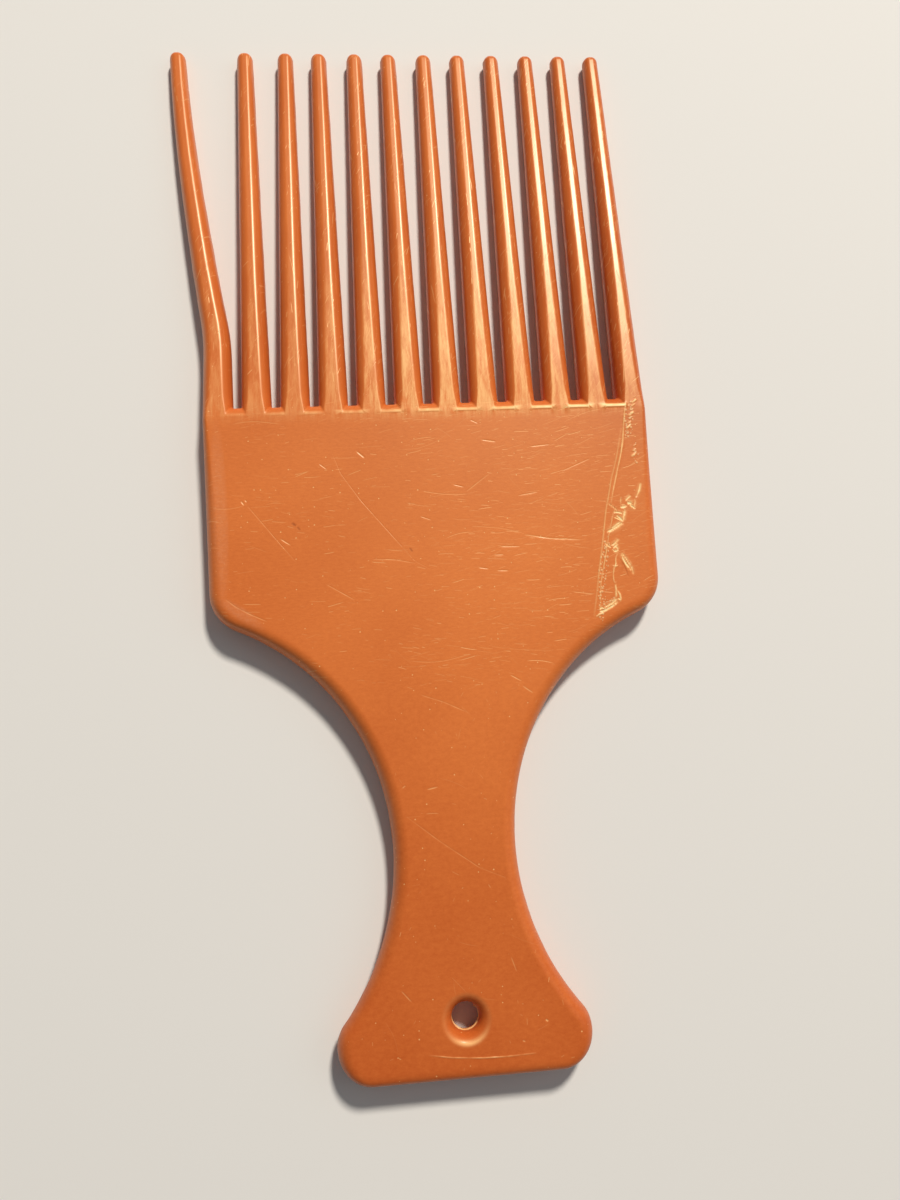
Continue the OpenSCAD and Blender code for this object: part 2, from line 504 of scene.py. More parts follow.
def fill_face(
    loops: Sequence[Points], marks: Sequence[Mark], height: Callable[[Points, Points], Points], face: Face
) -> tuple[Points, list[list[int]], Points]:
    """Fill one broad face with small triangles that carry its unevenness and its marks.

    Args:
        loops: The outer border and any holes, as rows of x, y and z.
        marks: Raised lines and grooves, of which those on this face are used.
        height: Gives the height of the smooth face.
        face: Which face it is.

    Returns:
        The points in millimetres, the triangles, and the wear at each point, which is below 0 on stains and
        on one groove's painted shadow.
    """
    rims = [loop[:, :2] for loop in loops]
    low, high = rims[0].min(axis=0), rims[0].max(axis=0)
    columns, rows = np.arange(low[0], high[0], FACE_STEP), np.arange(low[1], high[1], FACE_STEP * ROW_SHARE)
    xs, ys = np.meshgrid(columns, rows)
    xs[1::2] += FACE_STEP / 2
    free = np.column_stack([xs.ravel(), ys.ravel()])
    free = free[inside(rims[0], free)]
    border = np.vstack(rims)
    drawn, spots = [m for m in marks if m.face is face], np.empty((0, 2))
    for mark in drawn:
        spots = np.vstack([spots, clear_of(mark.spots(), spots, SPOT_GAP)])
    spots = clear_of(spots[inside(rims[0], spots)], border, BORDER_GAP)
    free = clear_of(free, np.vstack([border, spots]), FACE_STEP * FREE_GAP_SHARE)
    flat = np.vstack([border, spots, free])
    raised = np.zeros((len(flat), 2))
    for mark in drawn:
        own, shown = mark.relief(spots), raised[len(border):len(border) + len(spots)]
        np.copyto(shown, own, where=abs(own) > abs(shown))
    edges, start = [], 0
    for loop in rims:
        n = len(loop)
        edges += [(start + k, start + (k + 1) % n) for k in range(n)]
        start += n
    keep_inner, tolerance = 1, 1e-7
    found = delaunay_2d_cdt([Vector(p) for p in flat], edges, [], keep_inner, tolerance)
    verts = np.array([tuple(v) for v in found[0]])
    origin = np.array([ids[0] if ids else -1 for ids in found[3]])
    raised = np.where(origin[:, None] >= 0, raised[origin], 0.0)
    z = height(verts[:, 0], verts[:, 1]) + face.value * raised[:, 0]
    given = (origin >= 0) & (origin < len(border))
    z[given] = np.vstack(loops)[origin[given], 2]
    triangles = [list(t) for t in found[2]]
    for hole in rims[1:]:
        centres = np.array([verts[t].mean(axis=0) for t in triangles])
        triangles = [t for t, inner in zip(triangles, inside(hole, centres)) if not inner]
    return np.column_stack([verts, z]), triangles, raised[:, 1]


@dataclass(frozen=True)
class Outline:
    """Plan of the plate: the right half of its border at any level of the rounding.

    Attributes:
        sizes: The pick's sizes.
    """

    sizes: PickSizes
    # Places of the first points down the side, as shares of its length
    SIDE_SHARES = (0, 0.004, 0.012, *np.linspace(0.03, 1, 24)[:-1])
    # Points round the lower corner of the blade, down the hollow curve and round the handle's corner
    CORNER, HOLLOW_ABOVE, HOLLOW_BELOW, END = 18, 16, 52, 22

    @property
    def waist_c(self) -> Points:
        """Centre of the hollow curve on the right."""
        s = self.sizes
        return np.array([s.waist_w / 2 + s.waist_r, s.end_y + s.waist_up])

    @property
    def side_top(self) -> Points:
        """Top of the right side, on the parting line."""
        return np.array([self.sizes.half_w, self.sizes.root_y])

    def _lean(self) -> tuple[Points, Points]:
        """The outward normal of the right side and its way down."""
        a = math.radians(self.sizes.side_lean)
        return np.array([math.cos(a), -math.sin(a)]), np.array([-math.sin(a), -math.cos(a)])

    def corner_c(self) -> Points:
        """Centre of the lower right corner of the blade, which touches the side and the hollow curve.

        Returns:
            Its x and y.
        """
        s = self.sizes
        normal, run = self._lean()
        off = self.side_top - s.corner_r * normal - self.waist_c
        down = -off @ run - math.sqrt((off @ run) ** 2 - off @ off + (s.waist_r + s.corner_r) ** 2)
        return self.waist_c + off + down * run

    def end_c(self) -> Points:
        """Centre of the right corner at the end of the handle.

        Returns:
            Its x and y.
        """
        s = self.sizes
        y = s.end_y + s.end_r
        reach = s.waist_r + s.end_r
        return np.array([self.waist_c[0] - math.sqrt(reach ** 2 - (y - self.waist_c[1]) ** 2), y])

    def _turn(self, centre: Points) -> float:
        """Direction from a corner's centre to that of the hollow curve, in radians."""
        return math.atan2(*(self.waist_c - centre)[::-1])

    def _drawn_in(self, level: Level) -> float:
        """How far a level lies inside the parting line."""
        return (1 - level.reach) * self.sizes.edge_round + level.inset

    def side(self, level: Level) -> Points:
        """Points down the right side of the blade, without its last point.

        Args:
            level: Contour of the rounding.

        Returns:
            Points as rows of x and y, from the top down.
        """
        s = self.sizes
        end = self.corner_c() + s.corner_r * self._lean()[0]
        u = np.array(self.SIDE_SHARES)
        line = self.side_top + u[:, None] * (end - self.side_top)
        widen = s.flank_round + (s.edge_round - s.flank_round) * np.sin(u * math.pi / 2)
        line[:, 0] -= (1 - level.reach) * widen + level.inset
        return line

    def corner(self, level: Level) -> Points:
        """Points round the lower right corner of the blade, from the side to the hollow curve.

        Args:
            level: Contour of the rounding.

        Returns:
            Points as rows of x and y, from the top down.
        """
        c, lean = self.corner_c(), math.radians(self.sizes.side_lean)
        turns = np.linspace(-lean, self._turn(c), self.CORNER)
        return arc(c, self.sizes.corner_r - self._drawn_in(level), turns)

    def hollow(self, level: Level, above_seam: bool) -> Points:
        """Points down the hollow curve on one side of the seam between blade and handle.

        Args:
            level: Contour of the rounding.
            above_seam: Whether the blade's part is wanted, and not the handle's.

        Returns:
            Points as rows of x and y, from the top down.
        """
        s, r = self.sizes, self.sizes.waist_r + self._drawn_in(level)
        seam = math.pi - math.asin((s.seam_y - self.waist_c[1]) / r)
        lead = s.seam_lead / r
        if above_seam:
            start = self._turn(self.corner_c()) + math.pi
            turns = np.append(np.linspace(start, seam - lead, self.HOLLOW_ABOVE), seam)
        else:
            end = self._turn(self.end_c()) + math.pi
            turns = np.append(seam, np.linspace(seam + lead, end, self.HOLLOW_BELOW))
        return arc(self.waist_c, r, turns)

    def end(self, level: Level) -> Points:
        """Points round the right corner at the end of the handle, down to the straight end."""
        turns = np.linspace(self._turn(self.end_c()), -math.pi / 2, self.END)[1:]
        return arc(self.end_c(), self.sizes.end_r - self._drawn_in(level), turns)


def flash(s: Points, seed: float, height: float = 0.05) -> Points:
    """Height of the thin burr that the mould leaves on the parting line.

    Args:
        s: Places along the line, in millimetres.
        seed: Shifts its pattern.
        height: Its usual height in millimetres.

    Returns:
        Heights of the burr.
    """
    least, usual, swing, rate = 0.01, 0.55, 0.9, 1.3
    return np.maximum(least, height * (usual + swing * ripple(rate * s, seed)))


def square_off(rows: Points, levels: Sequence[Level], middle_z: float) -> None:
    """Make the rounding of an edge squarer where it looks towards the handle's end.

    Args:
        rows: Contours as levels by places by three, changed in place.
        levels: The levels of the contours.
        middle_z: Height of the parting line.
    """
    most, bias = 0.42, 1.5
    inner = rows[-2, :, :2].copy()
    across = rows[parting_row(levels), :, :2] - inner
    down = np.clip(-across[:, 1] / np.linalg.norm(across, axis=1), 0, 1)
    power = 1 - most * down ** bias
    for row, level in zip(rows, levels):
        if not level.inset:
            row[:, :2] = inner + across * (level.reach ** power)[:, None]
            row[:, 2] = middle_z * (1 + math.copysign(1, level.rise) * abs(level.rise) ** power)


def raise_flash(rows: Points, levels: Sequence[Level], seed: float) -> None:
    """Lift the parting line of a grid of contours outward into a fine burr.

    Args:
        rows: Contours as levels by places by three, changed in place.
        levels: The levels of the contours.
        seed: Shifts the burr's pattern.
    """
    middle, inner_by, faded = parting_row(levels), 6, 0.6
    line = rows[middle, :, :2]
    run = np.gradient(line, axis=0)
    length = np.maximum(np.linalg.norm(run, axis=1), 1e-9)
    outward = np.column_stack([run[:, 1], -run[:, 0]]) / length[:, None]
    inner = line - rows[middle + inner_by, :, :2]
    outward *= np.where((outward * inner).sum(axis=1) < 0, -1, 1)[:, None]
    s = np.cumsum(length)
    fade = np.clip(np.minimum(s - s[0], s[-1] - s) / faded, 0, 1)
    line += outward * (flash(s, seed) * fade)[:, None]


class Tooth:
    """One tooth, lofted from a flat-topped root to a round tip."""

    # Distances of the first sections from the gap bottoms
    STEPS = (0, 0.04, 0.09, 0.15, 0.22, 0.3, 0.42, 0.7, 1.2, 2.0)
    # Sections up to the round tip and over it, and the last one's share of the size
    SHAFT_STEPS, TIP_STEPS, LAST_SHARE = 57, 9, 0.03
    # Stretches across a flat
    FLAT_STEPS = 5
    # Teeth that waver most, how far they do, and how far the others do
    WAVERING, MOST_WAVER, WAVER = (1, 11, 12), 0.022, 0.008
    # Where the waver starts over the gap bottoms, its run to the full, and its share up and down
    WAVER_START, WAVER_RUN, WAVER_RISE = 2.0, 12.0, 0.7
    # Where the parting burr starts over the gap bottoms, its run to the full, and its share on the right
    BURR_START, BURR_RUN, RIGHT_BURR = 0.6, 2.0, 0.8
    # Waves of the waver across and up, and the steps of all seeds from tooth to tooth
    WAVER_RATES, SEED_STEPS = (1.1, 1.3), (1.7, 2.9, 0.9, 1.3)
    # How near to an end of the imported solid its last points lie
    END_DEPTH = 0.01

    def __init__(self, sizes: PickSizes, number: int, levels: Sequence[Level]) -> None:
        """Find the tooth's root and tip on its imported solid.

        Args:
            sizes: The pick's sizes.
            number: Place in the row, from 1 at the left.
            levels: Contours of its rounded flanks.
        """
        self.sizes, self.number, self.levels = sizes, number, levels
        self.name = f"tooth_{number:02d}"
        points = np.array([v.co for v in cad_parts[self.name].data.vertices]) / MM
        root = points[points[:, 1] < points[:, 1].min() + self.END_DEPTH]
        tip = points[points[:, 1] > points[:, 1].max() - self.END_DEPTH]
        self.root_x = float(root[:, 0].min() + root[:, 0].max()) / 2
        self.tip_x = float(tip[:, 0].min() + tip[:, 0].max()) / 2

    def width(self, y: float) -> float:
        """Width of the tooth at a distance along the pick."""
        s = self.sizes
        return s.tooth_root_w + (s.tip_d - s.tooth_root_w) * (y - s.root_y) / (s.tip_y - s.root_y)

    def half_height(self, y: float) -> float:
        """Half its thickness there, which is also how high its middle lies over the back face."""
        s = self.sizes
        return s.half_t + (s.tip_d / 2 - s.half_t) * (y - s.root_y) / (s.tip_y - s.root_y)

    def flat(self, y: float) -> float:
        """Width of its flat top, less the soft shoulders on both sides.

        Args:
            y: Distance along the pick.

        Returns:
            The width in millimetres.
        """
        s = self.sizes
        share = min(1.0, (y - s.root_y) / (s.flat_l + s.edge_round))
        grown = min(1.0, (y - s.root_y) / s.shoulder_run)
        soft = s.shoulder * grown * grown * (3 - 2 * grown) * (1 - share ** 2)
        return s.root_flat_w + (s.tip_flat_w - s.root_flat_w) * share - 2 * soft

    def aside(self, y: float) -> float:
        """How far its centreline stands beside its root.

        Args:
            y: Distance along the pick.

        Returns:
            The distance in millimetres.
        """
        s = self.sizes
        up, whole = y - s.gap_y, s.tips_y - s.gap_y
        if self.number > 1:
            return (self.tip_x - self.root_x) * max(up, 0.0) / whole
        share = self._travel(up) / self._travel(whole)
        lead = s.bend_lead_share
        return (self.tip_x - self.root_x) * (lead * share - (lead - 1) * share ** 3)

    def _travel(self, up: float) -> float:
        """Length of tooth past the bend, eased in over the bend itself.

        Args:
            up: Distance from the gap bottoms.

        Returns:
            The length in millimetres.
        """
        start, run = self.sizes.bend_start, self.sizes.bend_run
        if up < start:
            return 0.0
        return (up - start) ** 2 / (2 * run) if up < start + run else up - start - run / 2

    def fillet(self, level: Level, y: float) -> float:
        """How far the fillet at the gap's bottom widens the tooth.

        Args:
            level: Contour of the flank.
            y: Distance along the pick.

        Returns:
            The distance on one side, in millimetres.
        """
        s = self.sizes
        top = s.root_y + s.edge_round * level.reach + s.root_fillet
        return s.root_fillet - math.sqrt(max(0.0, s.root_fillet ** 2 - (top - y) ** 2)) if y < top else 0.0

    def flank(self, level: Level, y: float) -> tuple[float, float]:
        """A point of the right flank.

        Args:
            level: Contour of the flank.
            y: Distance along the pick.

        Returns:
            Its distance from the tooth's centreline, and its height over the back face.
        """
        flat = self.flat(y)
        inset = min(level.inset, flat / 4)
        x = flat / 2 - inset + (self.width(y) - flat) / 2 * level.reach
        return x, self.half_height(y) * (1 + level.rise)

    def gap_sides(self) -> tuple[bool, bool]:
        """Whether there is a gap on the left and on the right of the tooth."""
        return self.number > 1, self.number < TOOTH_COUNT

    def ring(self, y: float, scale: float = 1.0) -> Points:
        """The closed section at a distance along the pick.

        Args:
            y: Distance along the pick.
            scale: Share of the section's size, for the round tip.

        Returns:
            Points around the section, in millimetres.
        """
        at = min(y, self.sizes.tip_y)
        left, right = self.gap_sides()
        sides = []
        for open_gap in (right, left):
            rows = [self.flank(level, at) for level in self.levels]
            if open_gap and y < self.sizes.gap_y + self.sizes.root_fillet:
                rows = [(x + self.fillet(level, y), z) for (x, z), level in zip(rows, self.levels)]
            sides.append(np.array(rows))
        section = section_loop(sides[0], sides[1] * [-1, 1], self.FLAT_STEPS)
        x = self.root_x + self.aside(y) + section[:, 0] * scale
        middle = self.half_height(at)
        return np.column_stack([x, np.full(len(x), y), middle + (section[:, 1] - middle) * scale])

    def rings(self) -> Points:
        """Draw the whole tooth.

        Returns:
            Its sections from the seam to the last one of the tip.
        """
        s = self.sizes
        near = [s.gap_y + step for step in self.STEPS]
        far = np.linspace(near[-1], s.tip_y, self.SHAFT_STEPS + 1)[1:]
        rows = [self.ring(y) for y in (*near, *far)]
        for a in np.linspace(0, math.pi / 2, self.TIP_STEPS + 1)[1:]:
            rows.append(self.ring(s.tip_y + s.tip_d / 2 * math.sin(a), max(math.cos(a), self.LAST_SHARE)))
        return np.array(rows)

    def uneven(self, rows: Points) -> Points:
        """Add the slight waver of a moulded tooth and its parting burr.

        Args:
            rows: Sections of the tooth.

        Returns:
            The sections with both added.
        """
        s = self.sizes
        y, seeds = rows[:, 0, 1], [self.number * step for step in self.SEED_STEPS]
        grow = np.clip((y - s.gap_y - self.WAVER_START) / self.WAVER_RUN, 0, 1)
        amount = self.MOST_WAVER if self.number in self.WAVERING else self.WAVER
        across, up = (y * rate for rate in self.WAVER_RATES)
        rows[:, :, 0] += (amount * grow * ripple(across, seeds[0]))[:, None]
        rows[:, :, 2] += (amount * self.WAVER_RISE * grow * ripple(up, seeds[1] + 1))[:, None]
        middle, n = parting_row(self.levels), len(self.levels)
        left = n + self.FLAT_STEPS - 1 + (n - 1 - middle)
        show = np.clip((y - s.gap_y - self.BURR_START) / self.BURR_RUN, 0, 1)
        rows[:, middle, 0] += self.RIGHT_BURR * flash(y, seeds[2]) * show
        rows[:, left, 0] -= flash(y, seeds[3] + 2) * show
        return rows

    def build(self, material: bpy.types.Material) -> bpy.types.Object:
        """Make the tooth.

        Args:
            material: Its finish.

        Returns:
            The finished object.
        """
        rows = self.uneven(self.rings())
        shell = Shell(f"{self.name}_moulding")
        shell.grid(rows, closed=True)
        shell.cap(rows[0][::-1])
        shell.cap(rows[-1], hidden=False)
        return shell.build(material, self.name)


class Blade:
    """The broad plate, with the rounded gap bottoms and the first stretch of every root."""

    # Distances of the contours' points up the root of the last tooth, from the end of the flat blade
    STRIP_STEPS = (0.0, 0.1, 0.35, 0.8, 1.4, 1.9, 2.1, 2.2)
    # Points down the side of a gap and round its fillet, and stretches along its bottom
    GAP_SIDE, WEB_STEPS = 7, 5
    # Height of the bead along a gap's bottom, raised where the ledge's painted highlight is
    BEAD = 0.06
    # Run in of the painted highlight on the ledge, its reach and its run out, all up from the end of the
    # flat blade
    LEDGE_IN, LEDGE_REACH, LEDGE_OUT = 0.1, 0.75, 0.25
    # Where the ledge's front starts, as a share of half the thickness, and its run to the full
    FRONT_SHARE, FRONT_RUN = 1.6, 0.4
    # Its usual strength, the growth a millimetre to the right, and its swing with waves and seed
    LEDGE_WEAR, WEAR_DRIFT, WEAR_SWING, WEAR_RATE, WEAR_SEED = 0.75, 0.028, 0.45, 4.3, 1.1
    # Its least and its most strength
    WEAR_LIMITS = 0.08, 1.6
    # Seeds of the flash on the right and on the left border
    FLASH_SEEDS = 0.7, 2.3

    def __init__(
        self, sizes: PickSizes, outline: Outline, teeth: Sequence[Tooth], marks: Sequence[Mark]
    ) -> None:
        """Gather what the blade is drawn from.

        Args:
            sizes: The pick's sizes.
            outline: Plan of the plate.
            teeth: The teeth, from the left.
            marks: Its raised lines and scratches.
        """
        self.sizes, self.outline, self.teeth = sizes, outline, teeth
        self.marks = [mark.moved(sizes.gap_y) for mark in marks]
        self.levels = edge_levels(sizes.flat_inset)

    def border(self, level: Level) -> Points:
        """Contour of the right border, from the seam up to the cut across the last tooth.

        Args:
            level: Contour of the rounding.

        Returns:
            Points in millimetres.
        """
        s, o = self.sizes, self.outline
        plate = np.vstack([o.side(level), o.corner(level), o.hollow(level, True)[1:]])[::-1]
        rows = [(x, y, s.half_t * (1 + level.rise)) for x, y in plate]
        last = self.teeth[-1]
        for step in self.STRIP_STEPS[1:]:
            y = s.root_y + step * s.edge_round / self.STRIP_STEPS[-1]
            x, z = last.flank(level, y)
            rows.append((last.root_x + x, y, z))
        return np.array(rows)

    def gap(self, right: Tooth, left: Tooth, level: Level) -> Points:
        """Contour of one gap's bottom, from the cut across the tooth on its right to that on its left.

        Args:
            right: The tooth on the right of the gap.
            left: The tooth on the left.
            level: Contour of the rounding.

        Returns:
            Points in millimetres.
        """
        s = self.sizes
        r = s.root_fillet
        web_y = s.root_y + s.edge_round * level.reach - level.inset
        arc_y = web_y + r
        halves = []
        for tooth, side in ((right, -1), (left, 1)):
            downs = np.linspace(s.gap_y, min(arc_y, s.gap_y), self.GAP_SIDE)
            start = math.asin(min(1.0, max(0.0, (arc_y - s.gap_y) / r)))
            turns = np.linspace(start, math.pi / 2, self.GAP_SIDE)[1:]
            rows = []
            for y in downs:
                x, z = tooth.flank(level, y)
                extra = r - r * math.cos(start) if y == s.gap_y else 0.0
                rows.append((tooth.root_x + side * (x + extra), y, z))
            x, z = tooth.flank(level, min(arc_y, s.gap_y))
            for turn in turns:
                blend = math.sin(turn)
                height = z + (s.half_t * (1 + level.rise) - z) * blend
                rows.append((tooth.root_x + side * (x + r - r * math.cos(turn)), arc_y - r * blend, height))
            halves.append(np.array(rows))
        web = between(halves[0][-1], halves[1][-1], self.WEB_STEPS)
        return np.vstack([halves[0], web, halves[1][::-1]])

    def ledge_wear(self, rows: Points) -> Points:
        """Painted highlight on the front ledge of a gap's bottom.

        Args:
            rows: Contours of the gap's bottom, as levels by places by three.

        Returns:
            Its strength, as levels by places.
        """
        x, up, z = rows[..., 0], rows[..., 1] - self.sizes.root_y, rows[..., 2]
        ledge = np.clip(up / self.LEDGE_IN, 0, 1)
        ledge *= np.clip((self.LEDGE_REACH - up) / self.LEDGE_OUT, 0, 1)
        front = np.clip((z - self.FRONT_SHARE * self.sizes.half_t) / self.FRONT_RUN, 0, 1)
        swing = self.WEAR_SWING * ripple(x * self.WEAR_RATE, self.WEAR_SEED)
        return ledge * front * np.clip(self.LEDGE_WEAR + self.WEAR_DRIFT * x + swing, *self.WEAR_LIMITS)

    def face_height(self, face: Face) -> Callable[[Points, Points], Points]:
        """The height of the back, or of the front, which slopes down along the roots.

        Args:
            face: Which of the two.

        Returns:
            A function that gives the height at some places.
        """
        s = self.sizes
        slope = 2 * (s.half_t - self.teeth[0].half_height(s.gap_y)) / s.edge_round

        def height(x: Points, y: Points) -> Points:
            """Height of the face at each place."""
            front = s.plate_t - slope * np.maximum(0, y - s.root_y)
            return front if face is Face.FRONT else np.zeros_like(x)

        return height

    def build(self, material: bpy.types.Material) -> bpy.types.Object:
        """Make the blade.

        Args:
            material: Its finish.

        Returns:
            The finished object.
        """
        s = self.sizes
        shell = Shell("blade_moulding")
        grids = [np.array([self.border(level) for level in self.levels])]
        for right, left in zip(self.teeth[:0:-1], self.teeth[-2::-1]):
            grids.append(np.array([self.gap(right, left, level) for level in self.levels]))
        plate = grids[0][:, :-len(self.STRIP_STEPS)]
        square_off(plate, self.levels, s.half_t)
        mirrored = grids[0][:, ::-1] * [-1, 1, 1]
        grids.append(mirrored)
        for rows, seed in zip((grids[0], grids[-1]), self.FLASH_SEEDS):
            raise_flash(rows, self.levels, seed)
        for rows in grids[1:-1]:
            # The ledge's painted highlight also raises a bead there
            wear = self.ledge_wear(rows)
            rows[..., 2] += self.BEAD * wear
            shell.grid(rows, worn=wear)
        shell.grid(grids[0])
        shell.grid(grids[-1])
        for row, face in ((0, Face.BACK), (-1, Face.FRONT)):
            border = []
            for rows, following in zip(grids, grids[1:]):
                border += [rows[row], between(rows[row, -1], following[row, 0], Tooth.FLAT_STEPS)]
            seam = between(grids[-1][row, -1], grids[0][row, 0], SEAM_STEPS)
            loop = np.vstack([*border, grids[-1][row], seam])
            shell.patch(*fill_face([loop], self.marks, self.face_height(face), face))
        for rows, following in zip(grids, grids[1:]):
            shell.cap(section_loop(rows[:, -1], following[:, 0], Tooth.FLAT_STEPS))
        shell.cap(section_loop(grids[0][:, 0], grids[-1][:, -1], SEAM_STEPS))
        return shell.build(material, "blade")


class Handle:
    """The waisted grip with its flared end and the hanging hole."""

    # Points round the hole, and angles of the rings round its mouth, in degrees
    HOLE_STEPS = 120
    MOUTH_TURNS = (90, 86, 80, 73, 65, 56, 47, 38, 29, 20, 12, 5, 0)
    # Half the height of the hole's burr, and the stretches along the straight end
    BURR_RISE, END_STEPS = 0.06, 26
    # Least reach of that burr, what its ripple adds, the ripple's waves and seed, and its fuller side
    BURR_LEAST, BURR_SWING, BURR_RATE, BURR_SEED, FULLER, FULLER_AT = 0.1, 0.1, 4.1, 0.3, 0.6, 225
    # Reach, place in degrees and width in radians of the nib on it
    NIB, NIB_AT, NIB_W = 0.16, 38, 0.12
    # The painted highlight on the mouth's lip: place as a share of the rounding, width, strength, and its
    # low side's strength and turn
    LIP_SHARE, LIP_W, LIP_WEAR, LOW_WEAR, LOW_TURN = 0.72, 0.3, 0.1, 0.8, 0.1
    # Painted highlight on the burr, its even share, and the waves and seed of the rest
    THROAT_WEAR, THROAT_EVEN, THROAT_RATE, THROAT_SEED = 1.6, 0.6, 3.7, 1.0
    # Seed of the flash round the border
    FLASH_SEED = 4.1

    def __init__(self, sizes: PickSizes, outline: Outline, marks: Sequence[Mark]) -> None:
        """Gather what the handle is drawn from.

        Args:
            sizes: The pick's sizes.
            outline: Plan of the plate.
            marks: Its raised lines and scratches.
        """
        self.sizes, self.outline = sizes, outline
        self.marks = [mark.moved(sizes.gap_y) for mark in marks]
        self.levels = edge_levels(sizes.flat_inset)

    def border(self, level: Level) -> Points:
        """Contour from the seam on the right, round the end, to the seam on the left.

        Args:
            level: Contour of the rounding.

        Returns:
            Points in millimetres.
        """
        half = np.vstack([self.outline.hollow(level, False), self.outline.end(level)])
        end = between(half[-1], half[-1] * [-1, 1], self.END_STEPS)
        loop = np.vstack([half, end, half[::-1] * [-1, 1]])
        return np.column_stack([loop, np.full(len(loop), self.sizes.half_t * (1 + level.rise))])

    def hole_profile(self) -> list[tuple[float, float]]:
        """Radius and height down the hole.

        Returns:
            Pairs of both, from inside the front's flat to inside the back's.
        """
        s = self.sizes
        wall = s.hole_wall_l / 2
        upper = [(s.hole_r + s.mouth_round + s.flat_inset, s.half_t)]
        for a in map(math.radians, self.MOUTH_TURNS):
            radius = s.hole_r + s.mouth_round * (1 - math.cos(a))
            upper.append((radius, wall + (s.half_t - wall) * math.sin(a)))
        upper.append((s.hole_r, self.BURR_RISE))
        return [*upper, (s.hole_r, 0.0), *((r, -z) for r, z in reversed(upper))]

    def hole(self) -> Points:
        """Draw the hanging hole, with a ragged burr at half depth.

        Returns:
            Its rings, as rings by places by three.
        """
        s = self.sizes
        a = np.linspace(0, math.tau, self.HOLE_STEPS, endpoint=False)
        fuller = self.FULLER * np.cos(a - math.radians(self.FULLER_AT))
        burr = np.clip(ripple(a * self.BURR_RATE, self.BURR_SEED) + fuller, 0, 2)
        burr = self.BURR_LEAST + self.BURR_SWING * burr
        burr += self.NIB * np.exp(-((a - math.radians(self.NIB_AT)) / self.NIB_W) ** 2)
        rings = []
        for r, z in self.hole_profile():
            radius = r - burr if z == 0.0 else np.full_like(a, r)
            x, y = radius * np.cos(a), s.end_y + s.hole_inset + radius * np.sin(a)
            rings.append(np.column_stack([x, y, np.full_like(a, s.half_t + z)]))
        return np.array(rings)

    def hole_wear(self) -> Points:
        """Painted highlights on the hole's burr and on the rim of its mouth, strongest on its low side.

        Returns:
            Their strength, as rings by places.
        """
        s = self.sizes
        a = np.linspace(0, math.tau, self.HOLE_STEPS, endpoint=False)
        low = np.clip(-np.sin(a - self.LOW_TURN), 0, 1) ** 3
        lip = s.hole_r + self.LIP_SHARE * s.mouth_round
        uneven = (1 - self.THROAT_EVEN) * ripple(a * self.THROAT_RATE, self.THROAT_SEED)
        rows = []
        for r, z in self.hole_profile():
            on_lip = z > 0 and r < s.hole_r + s.mouth_round
            across = math.exp(-((r - lip) / self.LIP_W) ** 2) if on_lip else 0.0
            throat = self.THROAT_WEAR * (abs(z) <= self.BURR_RISE) * (self.THROAT_EVEN + uneven)
            rows.append(throat + across * (self.LIP_WEAR + self.LOW_WEAR * low))
        return np.clip(rows, 0, MOST_WORN)

    def build(self, material: bpy.types.Material) -> bpy.types.Object:
        """Make the handle.

        Args:
            material: Its finish.

        Returns:
            The finished object.
        """
        s = self.sizes
        shell = Shell("handle_moulding")
        rows = np.array([self.border(level) for level in self.levels])
        square_off(rows, self.levels, s.half_t)
        raise_flash(rows, self.levels, self.FLASH_SEED)
        shell.grid(rows)
        hole = self.hole()
        # The hole's burr and lip carry painted highlights
        shell.grid(hole, closed=True, worn=self.hole_wear())
        for row, face in ((0, Face.BACK), (-1, Face.FRONT)):
            loop = np.vstack([rows[row], between(rows[row, -1], rows[row, 0], SEAM_STEPS)])
            mouth = hole[0 if face is Face.FRONT else -1]

            def height(x: Points, y: Points, face: Face = face) -> Points:
                """Height of the flat face."""
                return np.full_like(x, s.half_t * (1 + face.value))

            shell.patch(*fill_face([loop, mouth], self.marks, height, face))
        shell.cap(section_loop(rows[:, 0], rows[:, -1], SEAM_STEPS))
        return shell.build(material, "handle")


Value = Socket | float | tuple[float, ...]


